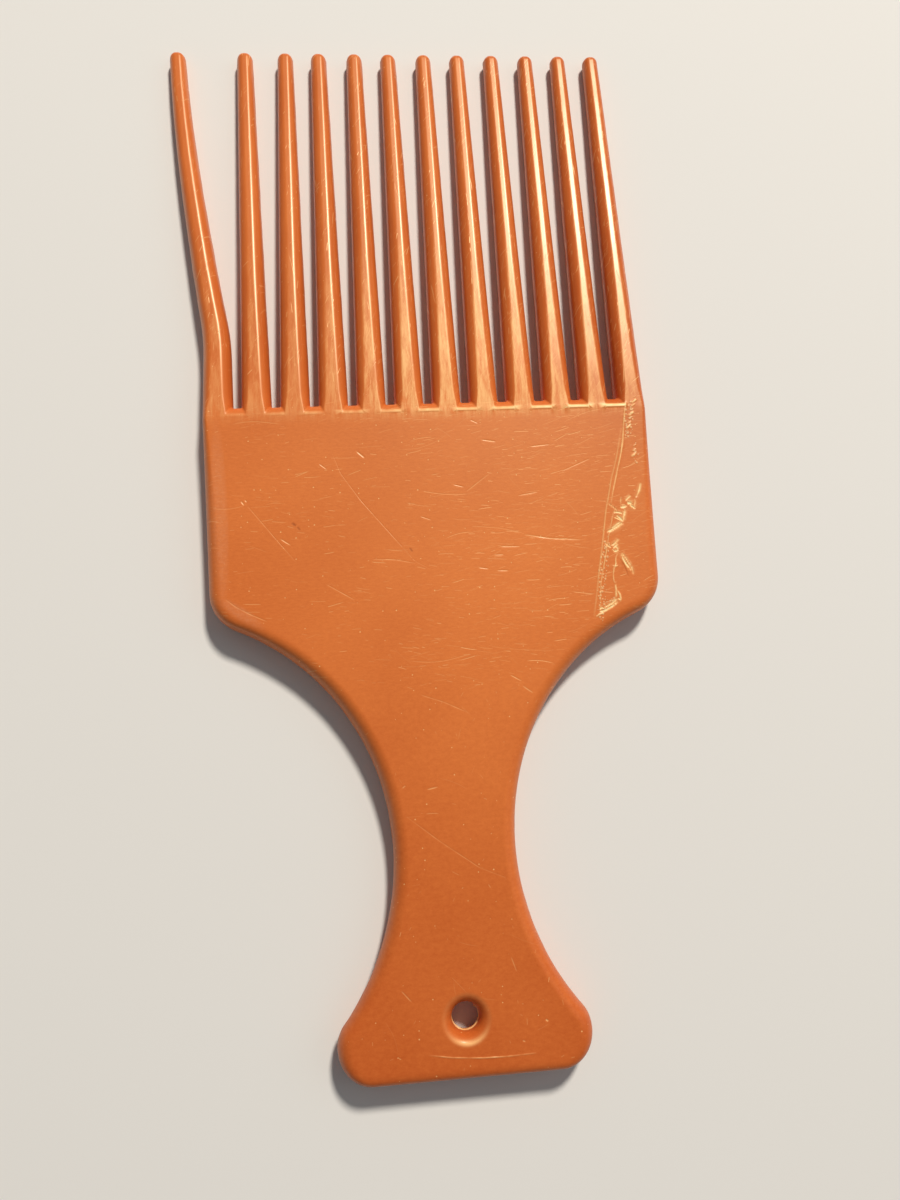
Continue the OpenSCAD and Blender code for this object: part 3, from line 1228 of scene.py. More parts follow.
class Wiring:
    """Adds nodes to a material or a group and joins them."""

    def __init__(self, tree: bpy.types.NodeTree) -> None:
        """Work on a node tree.

        Args:
            tree: The tree that gets the nodes.
        """
        self.tree = tree

    def node(
        self, kind: str, inputs: dict[str | int, Value] | None = None, **settings: object
    ) -> bpy.types.Node:
        """Add a node.

        Args:
            kind: Its type, without the leading ShaderNode.
            inputs: Sockets or values for its inputs, by name or place.
            settings: Its properties.

        Returns:
            The node.
        """
        node = self.tree.nodes.new(kind if kind.startswith("Node") else f"ShaderNode{kind}")
        for name, value in settings.items():
            setattr(node, name, value)
        for key, value in (inputs or {}).items():
            self.feed(node.inputs[key], value)
        return node

    def feed(self, socket: Socket, value: Value) -> None:
        """Link a socket into an input, or set the input to a value.

        Args:
            socket: The input.
            value: What it gets.
        """
        if isinstance(value, bpy.types.NodeSocket):
            self.tree.links.new(value, socket)
        else:
            socket.default_value = value

    def math(self, operation: str, *values: Value, clamp: bool = False) -> Socket:
        """Add a Math node and return its value."""
        return self.node("Math", dict(enumerate(values)), operation=operation, use_clamp=clamp).outputs[0]

    def times(self, a: Value, b: Value, clamp: bool = False) -> Socket:
        """Multiply two values."""
        return self.math("MULTIPLY", a, b, clamp=clamp)

    def plus(self, value: Value, mask: Value, share: Value, clamp: bool = False) -> Socket:
        """Add a share of a mask to a value."""
        return self.math("MULTIPLY_ADD", mask, share, value, clamp=clamp)

    def vector(self, operation: str, *values: Value) -> Socket:
        """Add a Vector Math node and return its vector."""
        return self.node("VectorMath", dict(enumerate(values)), operation=operation).outputs[0]

    def part(self, vector: Value, axis: int) -> Socket:
        """One component of a vector."""
        return self.node("SeparateXYZ", {0: vector}).outputs[axis]

    def scaled(self, place: Value, by: Value) -> Socket:
        """Multiply a vector by a number."""
        return self.node("VectorMath", {0: place, "Scale": by}, operation="SCALE").outputs[0]

    def noise(self, place: Value, scale: float, detail: float, roughness: float = 0.5) -> Socket:
        """Smooth random values, at so many waves a millimetre."""
        inputs = {"Vector": place, "Scale": scale, "Detail": detail, "Roughness": roughness}
        return self.node("TexNoise", inputs).outputs[0]

    def fall(self, value: Value, near: Value, far: Value) -> Socket:
        """A mask that is 1 up to near and falls smoothly to 0 at far."""
        inputs = {"Value": value, "From Min": near, "From Max": far, "To Min": 1.0, "To Max": 0.0}
        return self.node("MapRange", inputs, interpolation_type="SMOOTHSTEP").outputs["Result"]

    def blend(self, share: Value, a: Value, b: Value) -> Socket:
        """Mix two colours.

        Args:
            share: How much of the second shows.
            a: The first colour.
            b: The second colour.

        Returns:
            The mixed colour.
        """
        node = self.node("Mix", data_type="RGBA")
        for socket, value in zip((node.inputs[0], node.inputs[6], node.inputs[7]), (share, a, b)):
            self.feed(socket, value)
        return node.outputs[2]

    def millimetres(self) -> Socket:
        """Places on the piece, in millimetres."""
        return self.scaled(self.node("TexCoord").outputs["Object"], 1 / MM)


def open_group(
    name: str, values: dict[str, float], results: Sequence[str] = ("Mask",)
) -> tuple[Wiring, dict[str, Socket], dict[str, Socket]]:
    """Start a shader node group that is given a place on the piece and some values.

    Args:
        name: Name of the group.
        values: Its other inputs, each with its usual value.
        results: Names of its outputs.

    Returns:
        Its wiring, what it is given and what it gives, both by name.
    """
    tree = bpy.data.node_groups.new(name, "ShaderNodeTree")
    tree.interface.new_socket(name="Place", in_out="INPUT", socket_type="NodeSocketVector")
    for key, value in values.items():
        socket = tree.interface.new_socket(name=key, in_out="INPUT", socket_type="NodeSocketFloat")
        socket.default_value = value
    for key in results:
        tree.interface.new_socket(name=key, in_out="OUTPUT", socket_type="NodeSocketFloat")
    given, gives = tree.nodes.new("NodeGroupInput"), tree.nodes.new("NodeGroupOutput")
    taken = {key: given.outputs[key] for key in ("Place", *values)}
    return Wiring(tree), taken, {key: gives.inputs[key] for key in results}


class Effects:
    """The node groups that the plastic's finishes share."""

    # How far a scratch bows, the least shares of its full length and depth, and how rare deep ones are
    BOW, LEAST_LENGTH, LEAST_DEPTH, RARITY = 0.12, 0.2, 0.25, 4.0
    # Factors that draw one more random value from another, and a second shift from the first
    REDRAW_KEPT, REDRAW_DEPTH, SIDESTEP = 7.31, 5.7, 1.7
    # A spot's least share of its usual radius, what chance adds to it, and its flat middle's share
    LEAST_SPOT, SPOT_RANGE, SPOT_CORE = 0.4, 0.8, 0.3
    # Waves a millimetre of the worn patches, the clouds and the grain
    PATCH_WAVES, CLOUD_WAVES, GRAIN_WAVES = 0.11, 0.045, 1.1
    # Contrast, offset and least value of the worn patches, and their growth a millimetre to the right
    PATCH_CONTRAST, PATCH_OFFSET, LEAST_PATCH, PATCH_DRIFT = 2.6, -0.85, 0.12, 0.012
    # Full middle of the parting line, as a share, its gaps' waves a millimetre, and where they fade
    LINE_CORE, LINE_WAVES, LINE_NEAR, LINE_FAR = 0.4, 0.35, 0.62, 0.38

    def __init__(self) -> None:
        """Build every group once."""
        self.scratches = self._scratches()
        self.pits = self._spots("small_pits", flat=False, cell=1.0, radius=0.13)
        self.dots = self._spots("raised_dots", flat=True, cell=0.5, radius=0.26)
        self.mottle = self._mottle()
        self.parting = self._parting()
        self.oval = self._oval()

    def _scratches(self) -> bpy.types.NodeTree:
        """Fine straight scratches, one or none in each cell of a random pattern.

        Returns:
            The group.
        """
        usual = {
            "Cell": 5, "Direction": 0, "Spread": 3, "Width": 0.05, "Length": 2, "Share": 0.6, "Shift": 0,
        }
        w, given, gives = open_group("fine_scratches", usual)
        shift, cell = given["Shift"], given["Cell"]
        shift = w.node("CombineXYZ", {0: shift, 1: w.times(shift, self.SIDESTEP)}).outputs[0]
        place = w.vector("ADD", given["Place"], shift)
        scaled = w.scaled(place, w.math("DIVIDE", 1.0, cell))
        cells = w.node("TexVoronoi", {"Vector": scaled, "Scale": 1.0}, voronoi_dimensions="2D")
        apart = w.scaled(w.vector("SUBTRACT", scaled, cells.outputs["Position"]), cell)
        chance = w.node("SeparateColor", {0: cells.outputs["Color"]})
        turn = w.times(w.math("SUBTRACT", chance.outputs[0], 0.5), given["Spread"])
        turn = w.times(w.math("ADD", turn, given["Direction"]), -1.0)
        turned = w.node("VectorRotate", {"Vector": apart, "Angle": turn}, rotation_type="Z_AXIS").outputs[0]
        parts = w.node("SeparateXYZ", {0: turned})
        along = w.math("ABSOLUTE", parts.outputs[0])
        bow = w.times(w.math("POWER", along, 2.0), w.math("SUBTRACT", chance.outputs[1], 0.5))
        across = w.math("ABSOLUTE", w.plus(parts.outputs[1], bow, self.BOW))
        reach = w.plus(self.LEAST_LENGTH, chance.outputs[2], 1 - self.LEAST_LENGTH)
        reach = w.times(given["Length"], reach)
        ends = w.fall(along, w.times(reach, 0.5), reach)
        line = w.fall(across, 0.0, given["Width"])
        kept = w.math("FRACT", w.times(chance.outputs[1], self.REDRAW_KEPT))
        kept = w.math("LESS_THAN", kept, given["Share"])
        depth = w.math("FRACT", w.times(chance.outputs[2], self.REDRAW_DEPTH))
        depth = w.plus(self.LEAST_DEPTH, w.math("POWER", depth, self.RARITY), 1 - self.LEAST_DEPTH)
        mask = w.times(w.times(line, ends), w.times(kept, depth))
        w.feed(gives["Mask"], mask)
        return w.tree

    def _spots(self, name: str, flat: bool, cell: float, radius: float) -> bpy.types.NodeTree:
        """Small round spots, in a share of the cells of a random pattern.

        Args:
            name: Name of the group.
            flat: Whether the pattern runs straight through the pick, and isn't scattered in depth too.
            cell: Usual distance between the spots, in millimetres.
            radius: Their usual radius.

        Returns:
            The group.
        """
        w, given, gives = open_group(name, {"Cell": cell, "Radius": radius, "Share": 0.3})
        scaled = w.scaled(given["Place"], w.math("DIVIDE", 1.0, given["Cell"]))
        kind = "2D" if flat else "3D"
        cells = w.node("TexVoronoi", {"Vector": scaled, "Scale": 1.0}, voronoi_dimensions=kind)
        chance = w.node("SeparateColor", {0: cells.outputs["Color"]})
        away = w.times(cells.outputs["Distance"], given["Cell"])
        size = w.plus(self.LEAST_SPOT, chance.outputs[1], self.SPOT_RANGE)
        size = w.times(given["Radius"], size)
        spot = w.fall(away, w.times(size, self.SPOT_CORE), size)
        kept = w.math("LESS_THAN", chance.outputs[0], given["Share"])
        w.feed(gives["Mask"], w.times(spot, kept))
        return w.tree

    def _mottle(self) -> bpy.types.NodeTree:
        """Cloudy variation of the plastic, broad and fine, and the patches that wear leaves.

        Returns:
            The group.
        """
        w, given, gives = open_group("cloudy_tone", {"Stretch": 1}, ("Cloud", "Grain", "Patch"))
        place = given["Place"]
        scale = w.node("CombineXYZ", {0: 1.0, 1: given["Stretch"], 2: 1.0}).outputs[0]
        drawn, across = w.vector("MULTIPLY", place, scale), w.part(place, 0)
        worn = w.plus(self.PATCH_OFFSET, w.noise(place, self.PATCH_WAVES, 2.0), self.PATCH_CONTRAST)
        worn = w.plus(worn, across, self.PATCH_DRIFT)
        w.feed(gives["Cloud"], w.noise(place, self.CLOUD_WAVES, 3.0))
        w.feed(gives["Grain"], w.noise(drawn, self.GRAIN_WAVES, 5.0, 0.75))
        w.feed(gives["Patch"], w.math("MAXIMUM", w.math("MINIMUM", worn, 1.0), self.LEAST_PATCH))
        return w.tree

    def _parting(self) -> bpy.types.NodeTree:
        """The thin line of painted highlight on the parting burr.

        Returns:
            The group.
        """
        usual = {"Middle": 2.75, "Start": 0, "Fall": 0, "Half Width": 0.07}
        w, given, gives = open_group("parting_line", usual)
        parts = w.node("SeparateXYZ", {0: given["Place"]})
        past = w.math("MAXIMUM", w.math("SUBTRACT", parts.outputs[1], given["Start"]), 0.0)
        middle = w.math("SUBTRACT", given["Middle"], w.times(past, given["Fall"]))
        away = w.math("ABSOLUTE", w.math("SUBTRACT", parts.outputs[2], middle))
        line = w.fall(away, w.times(given["Half Width"], self.LINE_CORE), given["Half Width"])
        patchy = w.fall(w.noise(given["Place"], self.LINE_WAVES, 2.0), self.LINE_NEAR, self.LINE_FAR)
        w.feed(gives["Mask"], w.times(line, patchy))
        return w.tree

    @staticmethod
    def _oval() -> bpy.types.NodeTree:
        """A slanted oval with soft borders.

        Returns:
            The group.
        """
        usual = {"X": 0, "Y": 0, "Turn": 0, "Half Width": 1, "Half Length": 5}
        w, given, gives = open_group("slanted_oval", usual)
        full, border = 0.1, 1.0
        middle = w.node("CombineXYZ", {0: given["X"], 1: given["Y"]}).outputs[0]
        apart = w.vector("SUBTRACT", given["Place"], middle)
        back = w.times(given["Turn"], -1.0)
        turned = w.node("VectorRotate", {"Vector": apart, "Angle": back}, rotation_type="Z_AXIS").outputs[0]
        parts = w.node("SeparateXYZ", {0: turned})
        shares = []
        for axis, reach in enumerate(("Half Length", "Half Width")):
            share = w.math("DIVIDE", parts.outputs[axis], given[reach])
            shares.append(w.times(share, share))
        w.feed(gives["Mask"], w.fall(w.math("ADD", *shares), full, border))
        return w.tree


@dataclass(frozen=True)
class Zone:
    """A slanted oval patch of a broad face, with soft borders.

    Attributes:
        x: Its middle across the pick, in millimetres.
        y: Its middle along the pick, from the gap bottoms.
        turn: Its direction in degrees from across the pick.
        half_w: Half its width.
        half_l: Half its length.
    """

    x: float
    y: float
    turn: float
    half_w: float
    half_l: float


@dataclass(frozen=True)
class ScratchSet:
    """One family of fine scratches.

    Attributes:
        cell: Usual distance between them, in millimetres.
        direction: Their middle direction in degrees from across the pick.
        spread: How far they turn either way, in degrees.
        width: Half width, in millimetres.
        length: Half length of the longest.
        share: Share of cells that hold one.
        shift: Moves the pattern, so that no two sets match.
        strength: How deep and pale they are.
    """

    cell: float
    direction: float
    spread: float
    width: float
    length: float
    share: float
    shift: float
    strength: float = 1.0


@dataclass(frozen=True)
class PlasticFinish:
    """The glossy orange-brown plastic, with its wear, and with painted light and shade in its colour.

    Attributes:
        name: Name of the material.
        sizes: The pick's sizes, which place the parting line and the worn roots.
        deep: Darker tone of the plastic, linear.
        light: Lighter tone, linear.
        worn: Tone of the scratches, and of the painted highlights on the gap ledges and the hole's lip.
        white: Tone of the painted highlights on the parting burr and along the left edge.
        cream: Tone of deep gouges and raised dots, and of the strongest painted highlights on the ledges and
            the hole's burr.
        stain: Tone of the dark specks, and of the painted shadow in one groove.
        glow: Tint of the sheen.
        base_tone: Middle of the tone on the blade, from deep to light, less what grain and clouds add.
        rough: Roughness of the worn gloss.
        root_rough: That roughness at the roots of the teeth, where blade and teeth run into each other.
        scratches: Families of scratches.
        pit_share: How many of the small pits there are.
        stretch: How far the cloudy tone is drawn out along the pick.
        coat: Weight of the glossy skin.
        root_coat: That weight at the roots of the teeth.
        coat_rough: Roughness of that skin.
        peel: Height of its fine unevenness, as a share of the depth of a scratch.
        brushed: How matt and scuffed the flat roots of the teeth are, and how far a painted sheen lightens
            them.
        sweep: Turn of the scratches along the pick, in degrees for each millimetre.
        stipples: Patches of small raised dots.
        scuffs: Patches with more scratches, whose lighter tone is a painted sheen.
        hazes: Patches paled by a painted highlight, broken into specks.
    """

    name: str
    sizes: PickSizes
    deep: Colour = (0.53, 0.095, 0.015, 1.0)
    light: Colour = (0.80, 0.215, 0.046, 1.0)
    worn: Colour = (0.93, 0.50, 0.20, 1.0)
    white: Colour = (0.88, 0.66, 0.45, 1.0)
    cream: Colour = (1.0, 0.80, 0.42, 1.0)
    stain: Colour = (0.30, 0.05, 0.008, 1.0)
    glow: Colour = (1.0, 0.85, 0.47, 1.0)
    base_tone: float = -0.09
    rough: float = 0.46
    root_rough: float = 0.46
    scratches: tuple[ScratchSet, ...] = ()
    pit_share: float = 0.1
    stretch: float = 1.0
    coat: float = 0.16
    root_coat: float = 0.16
    coat_rough: float = 0.24
    peel: float = 0.6
    brushed: float = 0.0
    sweep: float = 0.0
    stipples: tuple[Zone, ...] = ()
    scuffs: tuple[Zone, ...] = ()
    hazes: tuple[Zone, ...] = ()
    # How far the clouds, the grain, the scuffs and the brushed roots move the tone from deep to light; on
    # scuffs and brushed roots the lift is a painted sheen
    CLOUD_TONE, GRAIN_TONE, SCUFF_TONE, BRUSH_TONE = 0.7, 0.8, 0.05, 0.15
    # The same, as painted shade, for a millimetre of handle, for the strip beside the teeth and for the
    # right border
    HANDLE_TONE, TOP_TONE, RIGHT_TONE = 0.009, -0.18, -0.25
    # How far that strip's painted shade reaches down, where the right border's painted shade is full, and
    # where it starts
    TOP_REACH, RIGHT_FULL, RIGHT_START = 14.0, 36.0, 12.0
    # Waves a millimetre, detail, roughness and drawing out of the streaks on the roots, and their fade
    STREAK_NOISE, STREAK_DRAWN, STREAK_NEAR, STREAK_FAR = (1.1, 5.0, 0.75), (1.0, 0.14, 1.0), 0.66, 0.36
    # How strongly streaks, scratches and pits take on the worn tone, dots cream, and the painted highlights
    # of lines and haze white
    STREAK_PALE, SCRATCH_PALE, PIT_PALE, DOT_CREAM, LINE_WHITE, HAZE_WHITE = 0.85, 0.85, 0.9, 0.4, 0.5, 0.1
    # How much denser scratches lie in scuffs and on brushed roots
    SCUFF_DENSITY, BRUSH_DENSITY = 0.6, 0.8
    # Middle of the brushing across the pick, where it starts to thin out and ends, and its share out there
    BRUSH_X, BRUSH_NEAR, BRUSH_FAR, BRUSH_REST = 8.0, 6.0, 30.0, 0.35
    # Upright share of the normal where a face is flat enough to be brushed, and where it isn't
    FLAT_NEAR, FLAT_FAR = 0.998, 0.93
    # Where the brushing fades, up from the gap bottoms, and where it starts, up from the flat blade's end
    BRUSH_FADE, BRUSH_START = (8.0, 34.0), (1.5, -2.0)
    # Waves a millimetre, detail and roughness of the haze's specks, their fade, and their share of it
    HAZE_NOISE, HAZE_NEAR, HAZE_FAR, HAZE_SPECKS = (2.2, 4.0, 0.7), 0.64, 0.44, 0.5
    # Share of a stipple's cells that hold a dot, and how far the scratches wander, in radians
    STIPPLE_SHARE, WANDER = 1.3, 0.7
    # How far up from the gap bottoms the gloss of the roots gives way to that of the teeth
    ROOT_REACH = 10.0
    # How far clouds, brushing and scratches roughen the plastic, and grain and brushing thin its skin
    CLOUD_ROUGH, BRUSH_ROUGH, SCRATCH_ROUGH, GRAIN_COAT, BRUSH_COAT = 0.14, 0.05, -0.14, -0.1, -0.12
    # How far brushing roughens that skin, and the plastic's refractive index and reflection
    BRUSH_COAT_ROUGH, INDEX, REFLECTION = 0.14, 1.49, 0.5
    # Height of the relief, in millimetres, and how far a dot rises against the depth of a scratch
    RELIEF, DOT_RISE = 0.022, 1.3

    def _zone_mask(self, w: Wiring, place: Socket, zones: Sequence[Zone], effects: Effects) -> Value:
        """Join several zones into one mask.

        Args:
            w: The material's wiring.
            place: Places on the piece.
            zones: The zones.
            effects: The shared node groups.

        Returns:
            The mask.
        """
        total: Value = 0.0
        for each in zones:
            values = {
                "Place": place, "X": each.x, "Y": self.sizes.gap_y + each.y, "Turn": math.radians(each.turn),
                "Half Width": each.half_w, "Half Length": each.half_l,
            }
            oval = w.node("Group", values, node_tree=effects.oval)
            total = w.math("MAXIMUM", total, oval.outputs["Mask"])
        return total

    def _stipple_mask(self, w: Wiring, place: Socket, effects: Effects) -> Value:
        """Mask of the raised dots in all their zones.

        Args:
            w: The material's wiring.
            place: Places on the piece.
            effects: The shared node groups.

        Returns:
            The mask.
        """
        if not self.stipples:
            return 0.0
        share = w.times(self._zone_mask(w, place, self.stipples, effects), self.STIPPLE_SHARE)
        return w.node("Group", {"Place": place, "Share": share}, node_tree=effects.dots).outputs["Mask"]

    def _scratch_mask(
        self, w: Wiring, place: Socket, density: Socket, drift: Socket, effects: Effects
    ) -> Socket:
        """Join the families of scratches into one mask.

        Args:
            w: The material's wiring.
            place: Places on the piece.
            density: Local share of the scratches that show.
            drift: Turn of the scratches that wanders over the piece.
            effects: The shared node groups.

        Returns:
            The mask.
        """
        total: Value = 0.0
        for each in self.scratches:
            values = {
                "Place": place, "Cell": each.cell, "Spread": math.radians(2 * each.spread),
                "Direction": w.math("ADD", drift, math.radians(each.direction)),
                "Width": each.width, "Length": each.length,
                "Share": w.times(density, each.share), "Shift": each.shift,
            }
            mask = w.node("Group", values, node_tree=effects.scratches)
            total = w.math("MAXIMUM", total, w.times(mask.outputs["Mask"], each.strength))
        return total

    def _parting(self, w: Wiring, place: Socket, effects: Effects) -> Socket:
        """Mask of the painted highlight on the parting line, which follows the middle of the thinning teeth.

        Args:
            w: The material's wiring.
            place: Places on the piece.
            effects: The shared node groups.

        Returns:
            The mask.
        """
        s = self.sizes
        fall = (s.half_t - s.tip_d / 2) / (s.tip_y - s.root_y)
        values = {"Place": place, "Middle": s.half_t, "Start": s.root_y, "Fall": fall}
        return w.node("Group", values, node_tree=effects.parting).outputs["Mask"]

    def _haze(self, w: Wiring, place: Socket, effects: Effects) -> Socket:
        """Mask of a painted highlight in some patches, broken into specks.

        Args:
            w: The material's wiring.
            place: Places on the piece.
            effects: The shared node groups.

        Returns:
            The mask.
        """
        zones = self._zone_mask(w, place, self.hazes, effects)
        specks = w.fall(w.noise(place, *self.HAZE_NOISE), self.HAZE_NEAR, self.HAZE_FAR)
        return w.times(zones, w.plus(1 - self.HAZE_SPECKS, specks, self.HAZE_SPECKS))

    def _brushing(self, w: Wiring, place: Socket) -> Socket:
        """Mask of the scuffed flat tops of the roots, fading towards the tips, which also lays a painted
        sheen on them.

        Args:
            w: The material's wiring.
            place: Places on the piece.

        Returns:
            The mask.
        """
        along, s = w.part(place, 1), self.sizes
        upright = w.part(w.node("TexCoord").outputs["Normal"], 2)
        flat = w.fall(w.math("ABSOLUTE", upright), self.FLAT_NEAR, self.FLAT_FAR)
        near = w.fall(along, *(s.gap_y + up for up in self.BRUSH_FADE))
        near = w.times(near, w.fall(along, *(s.root_y + up for up in self.BRUSH_START)))
        aside = w.math("ABSOLUTE", w.math("ADD", w.part(place, 0), -self.BRUSH_X))
        rest = self.BRUSH_REST * self.brushed
        most = w.plus(rest, w.fall(aside, self.BRUSH_NEAR, self.BRUSH_FAR), self.brushed - rest)
        return w.times(w.times(flat, near), most)

    def build(self, effects: Effects) -> bpy.types.Material:
        """Make the material.

        Args:
            effects: The shared node groups.

        Returns:
            The material.
        """
        material = bpy.data.materials.new(self.name)
        material.use_nodes = True
        w, s = Wiring(material.node_tree), self.sizes
        shader = material.node_tree.nodes["Principled BSDF"]
        place = w.millimetres()
        mottle = w.node("Group", {"Place": place, "Stretch": self.stretch}, node_tree=effects.mottle)
        cloud, grain, patch = (mottle.outputs[name] for name in ("Cloud", "Grain", "Patch"))
        brushed = self._brushing(w, place)
        scuffed = self._zone_mask(w, place, self.scuffs, effects)
        density = w.plus(w.plus(patch, brushed, self.BRUSH_DENSITY), scuffed, self.SCUFF_DENSITY)
        along = w.part(place, 1)
        wander = w.plus(-self.WANDER / 2, cloud, self.WANDER)
        drift = w.plus(wander, along, math.radians(self.sweep))
        scratched = self._scratch_mask(w, place, density, drift, effects)
        pits = w.node("Group", {"Place": place, "Share": self.pit_share}, node_tree=effects.pits)
        pitted = pits.outputs["Mask"]
        line = self._parting(w, place, effects)
        dots = self._stipple_mask(w, place, effects)
        marked = w.node("Attribute", attribute_name=WORN).outputs["Fac"]

        tone = w.plus(self.base_tone, cloud, self.CLOUD_TONE)
        # Painted shade that darkens the handle towards its end
        past_blade = w.math("MINIMUM", w.math("ADD", along, -s.seam_y), 0.0)
        tone = w.plus(tone, past_blade, self.HANDLE_TONE)
        # Painted shade over the strip beside the teeth
        tone = w.plus(tone, w.fall(along, s.root_y, s.root_y - self.TOP_REACH), self.TOP_TONE)
        # Grain, and scuffs whose lighter tone is a painted sheen
        tone = w.plus(w.plus(tone, grain, self.GRAIN_TONE), scuffed, self.SCUFF_TONE)
        # Painted shade towards the right border
        tone = w.plus(tone, w.fall(w.part(place, 0), self.RIGHT_FULL, self.RIGHT_START), self.RIGHT_TONE)
        # The brushed roots are lighter, partly as a painted sheen
        tone = w.plus(tone, brushed, self.BRUSH_TONE, clamp=True)
        colour = w.blend(tone, self.deep, self.light)
        streaks = w.noise(w.vector("MULTIPLY", place, self.STREAK_DRAWN), *self.STREAK_NOISE)
        streaked = w.times(brushed, w.fall(streaks, self.STREAK_NEAR, self.STREAK_FAR))
        pales = (streaked, self.STREAK_PALE), (scratched, self.SCRATCH_PALE), (pitted, self.PIT_PALE)
        # The mesh attribute holds wear and stains, painted highlights on ledges and the hole, and one
        # groove's painted shadow
        for mask, share in (*pales, (marked, 1.0)):
            colour = w.blend(w.times(mask, share, clamp=True), colour, self.worn)
        for mask in (w.math("SUBTRACT", marked, 1.0, clamp=True), w.times(dots, self.DOT_CREAM)):
            colour = w.blend(mask, colour, self.cream)
        colour = w.blend(w.times(marked, -1.0, clamp=True), colour, self.stain)
        # Painted highlights whiten the parting line and the left edge's haze
        for mask, share in ((line, self.LINE_WHITE), (self._haze(w, place, effects), self.HAZE_WHITE)):
            colour = w.blend(w.times(mask, share), colour, self.white)
        w.feed(shader.inputs["Base Color"], colour)

        past_root = w.fall(along, s.gap_y + self.ROOT_REACH, s.gap_y)
        rough = w.plus(self.root_rough - self.CLOUD_ROUGH / 2, past_root, self.rough - self.root_rough)
        rough = w.plus(w.plus(rough, cloud, self.CLOUD_ROUGH), brushed, self.BRUSH_ROUGH)
        w.feed(shader.inputs["Roughness"], w.plus(rough, scratched, self.SCRATCH_ROUGH))
        coat = w.plus(self.root_coat - self.GRAIN_COAT / 2, past_root, self.coat - self.root_coat)
        coat = w.plus(w.plus(coat, grain, self.GRAIN_COAT), brushed, self.BRUSH_COAT, clamp=True)
        w.feed(shader.inputs["Coat Weight"], coat)
        w.feed(shader.inputs["Coat Roughness"], w.plus(self.coat_rough, brushed, self.BRUSH_COAT_ROUGH))
        shader.inputs["IOR"].default_value = self.INDEX
        shader.inputs["Specular IOR Level"].default_value = self.REFLECTION
        shader.inputs["Specular Tint"].default_value = self.glow

        relief = w.plus(w.times(scratched, -1.0), pitted, -1.0)
        relief = w.plus(w.plus(relief, dots, self.DOT_RISE), grain, self.peel)
        bump = w.node("Bump", {"Height": relief, "Distance": self.RELIEF * MM, "Strength": 1.0})
        w.feed(shader.inputs["Normal"], bump.outputs[0])
        LOG.info("material %s with %d scratch families", self.name, len(self.scratches))
        return material


@dataclass(frozen=True)
class PaperFinish:
    """The plain pale floor: matt, with a trace of tooth.

    Attributes:
        name: Name of the material.
        colour: Its colour, linear.
        rough: Its roughness.
        reflection: How far it reflects.
    """

    name: str = "pale_floor"
    colour: Colour = (0.80, 0.80, 0.79, 1.0)
    rough: float = 0.9
    reflection: float = 0.2

    def build(self) -> bpy.types.Material:
        """Make the material.

        Returns:
            The material.
        """
        material = bpy.data.materials.new(self.name)
        material.use_nodes = True
        shader = material.node_tree.nodes["Principled BSDF"]
        shader.inputs["Base Color"].default_value = self.colour
        shader.inputs["Roughness"].default_value = self.rough
        shader.inputs["Specular IOR Level"].default_value = self.reflection
        return material


BLADE_SCRATCHES = (
    ScratchSet(9.0, 3, 12, 0.08, 7.0, 0.9, 27.3, 0.6),
    ScratchSet(4.1, 7, 24, 0.08, 2.8, 0.8, 3.1, 0.75),
    ScratchSet(2.6, 3, 12, 0.08, 2.1, 0.9, 53.9, 0.7),
    ScratchSet(1.2, 2, 14, 0.08, 0.9, 0.8, 11.7, 0.55),
    ScratchSet(12.0, -48, 14, 0.08, 6.0, 0.7, 77.7, 0.3),
)
HANDLE_SCRATCHES = (
    ScratchSet(8.5, -50, 70, 0.08, 3.6, 0.5, 5.3, 0.35),
    ScratchSet(3.4, 30, 90, 0.09, 1.2, 0.35, 17.9, 0.5),
    ScratchSet(1.6, 30, 90, 0.09, 0.45, 0.2, 37.1, 0.8),
)
TOOTH_SCRATCHES = (
    ScratchSet(1.1, 66, 30, 0.09, 1.0, 0.8, 7.7, 0.8),
    ScratchSet(2.6, 84, 20, 0.09, 2.2, 0.6, 23.5, 1.0),
    ScratchSet(1.7, 70, 28, 0.1, 1.7, 0.6, 91.3, 1.0),
)
PANEL_STIPPLES = (
    Zone(32.5, -4.2, 80, 1.1, 3.8),
    Zone(33.1, -10.2, 84, 0.6, 2.2),
    Zone(26.2, -27.9, 77, 0.9, 4.6),
    Zone(25.2, -33.2, 83, 0.8, 5.0),
    Zone(25.7, -35.1, 34, 0.7, 2.6),
)
# Patches with more scratches, whose lighter tone is a painted sheen
BLADE_SCUFFS = (
    Zone(20.0, -9.0, 20, 6.0, 12.0),
    Zone(13.0, -24.0, 0, 5.0, 11.0),
    Zone(13.0, -34.0, 0, 4.0, 10.0),
    Zone(-2.5, -41.5, 0, 4.5, 8.0),
)
# Patches of painted highlight along the left edge and its lower corner
BLADE_HAZES = (
    Zone(-33.2, -18.0, 91.3, 1.5, 17.0),
    Zone(-30.4, -33.6, -36, 1.2, 5.0),
)

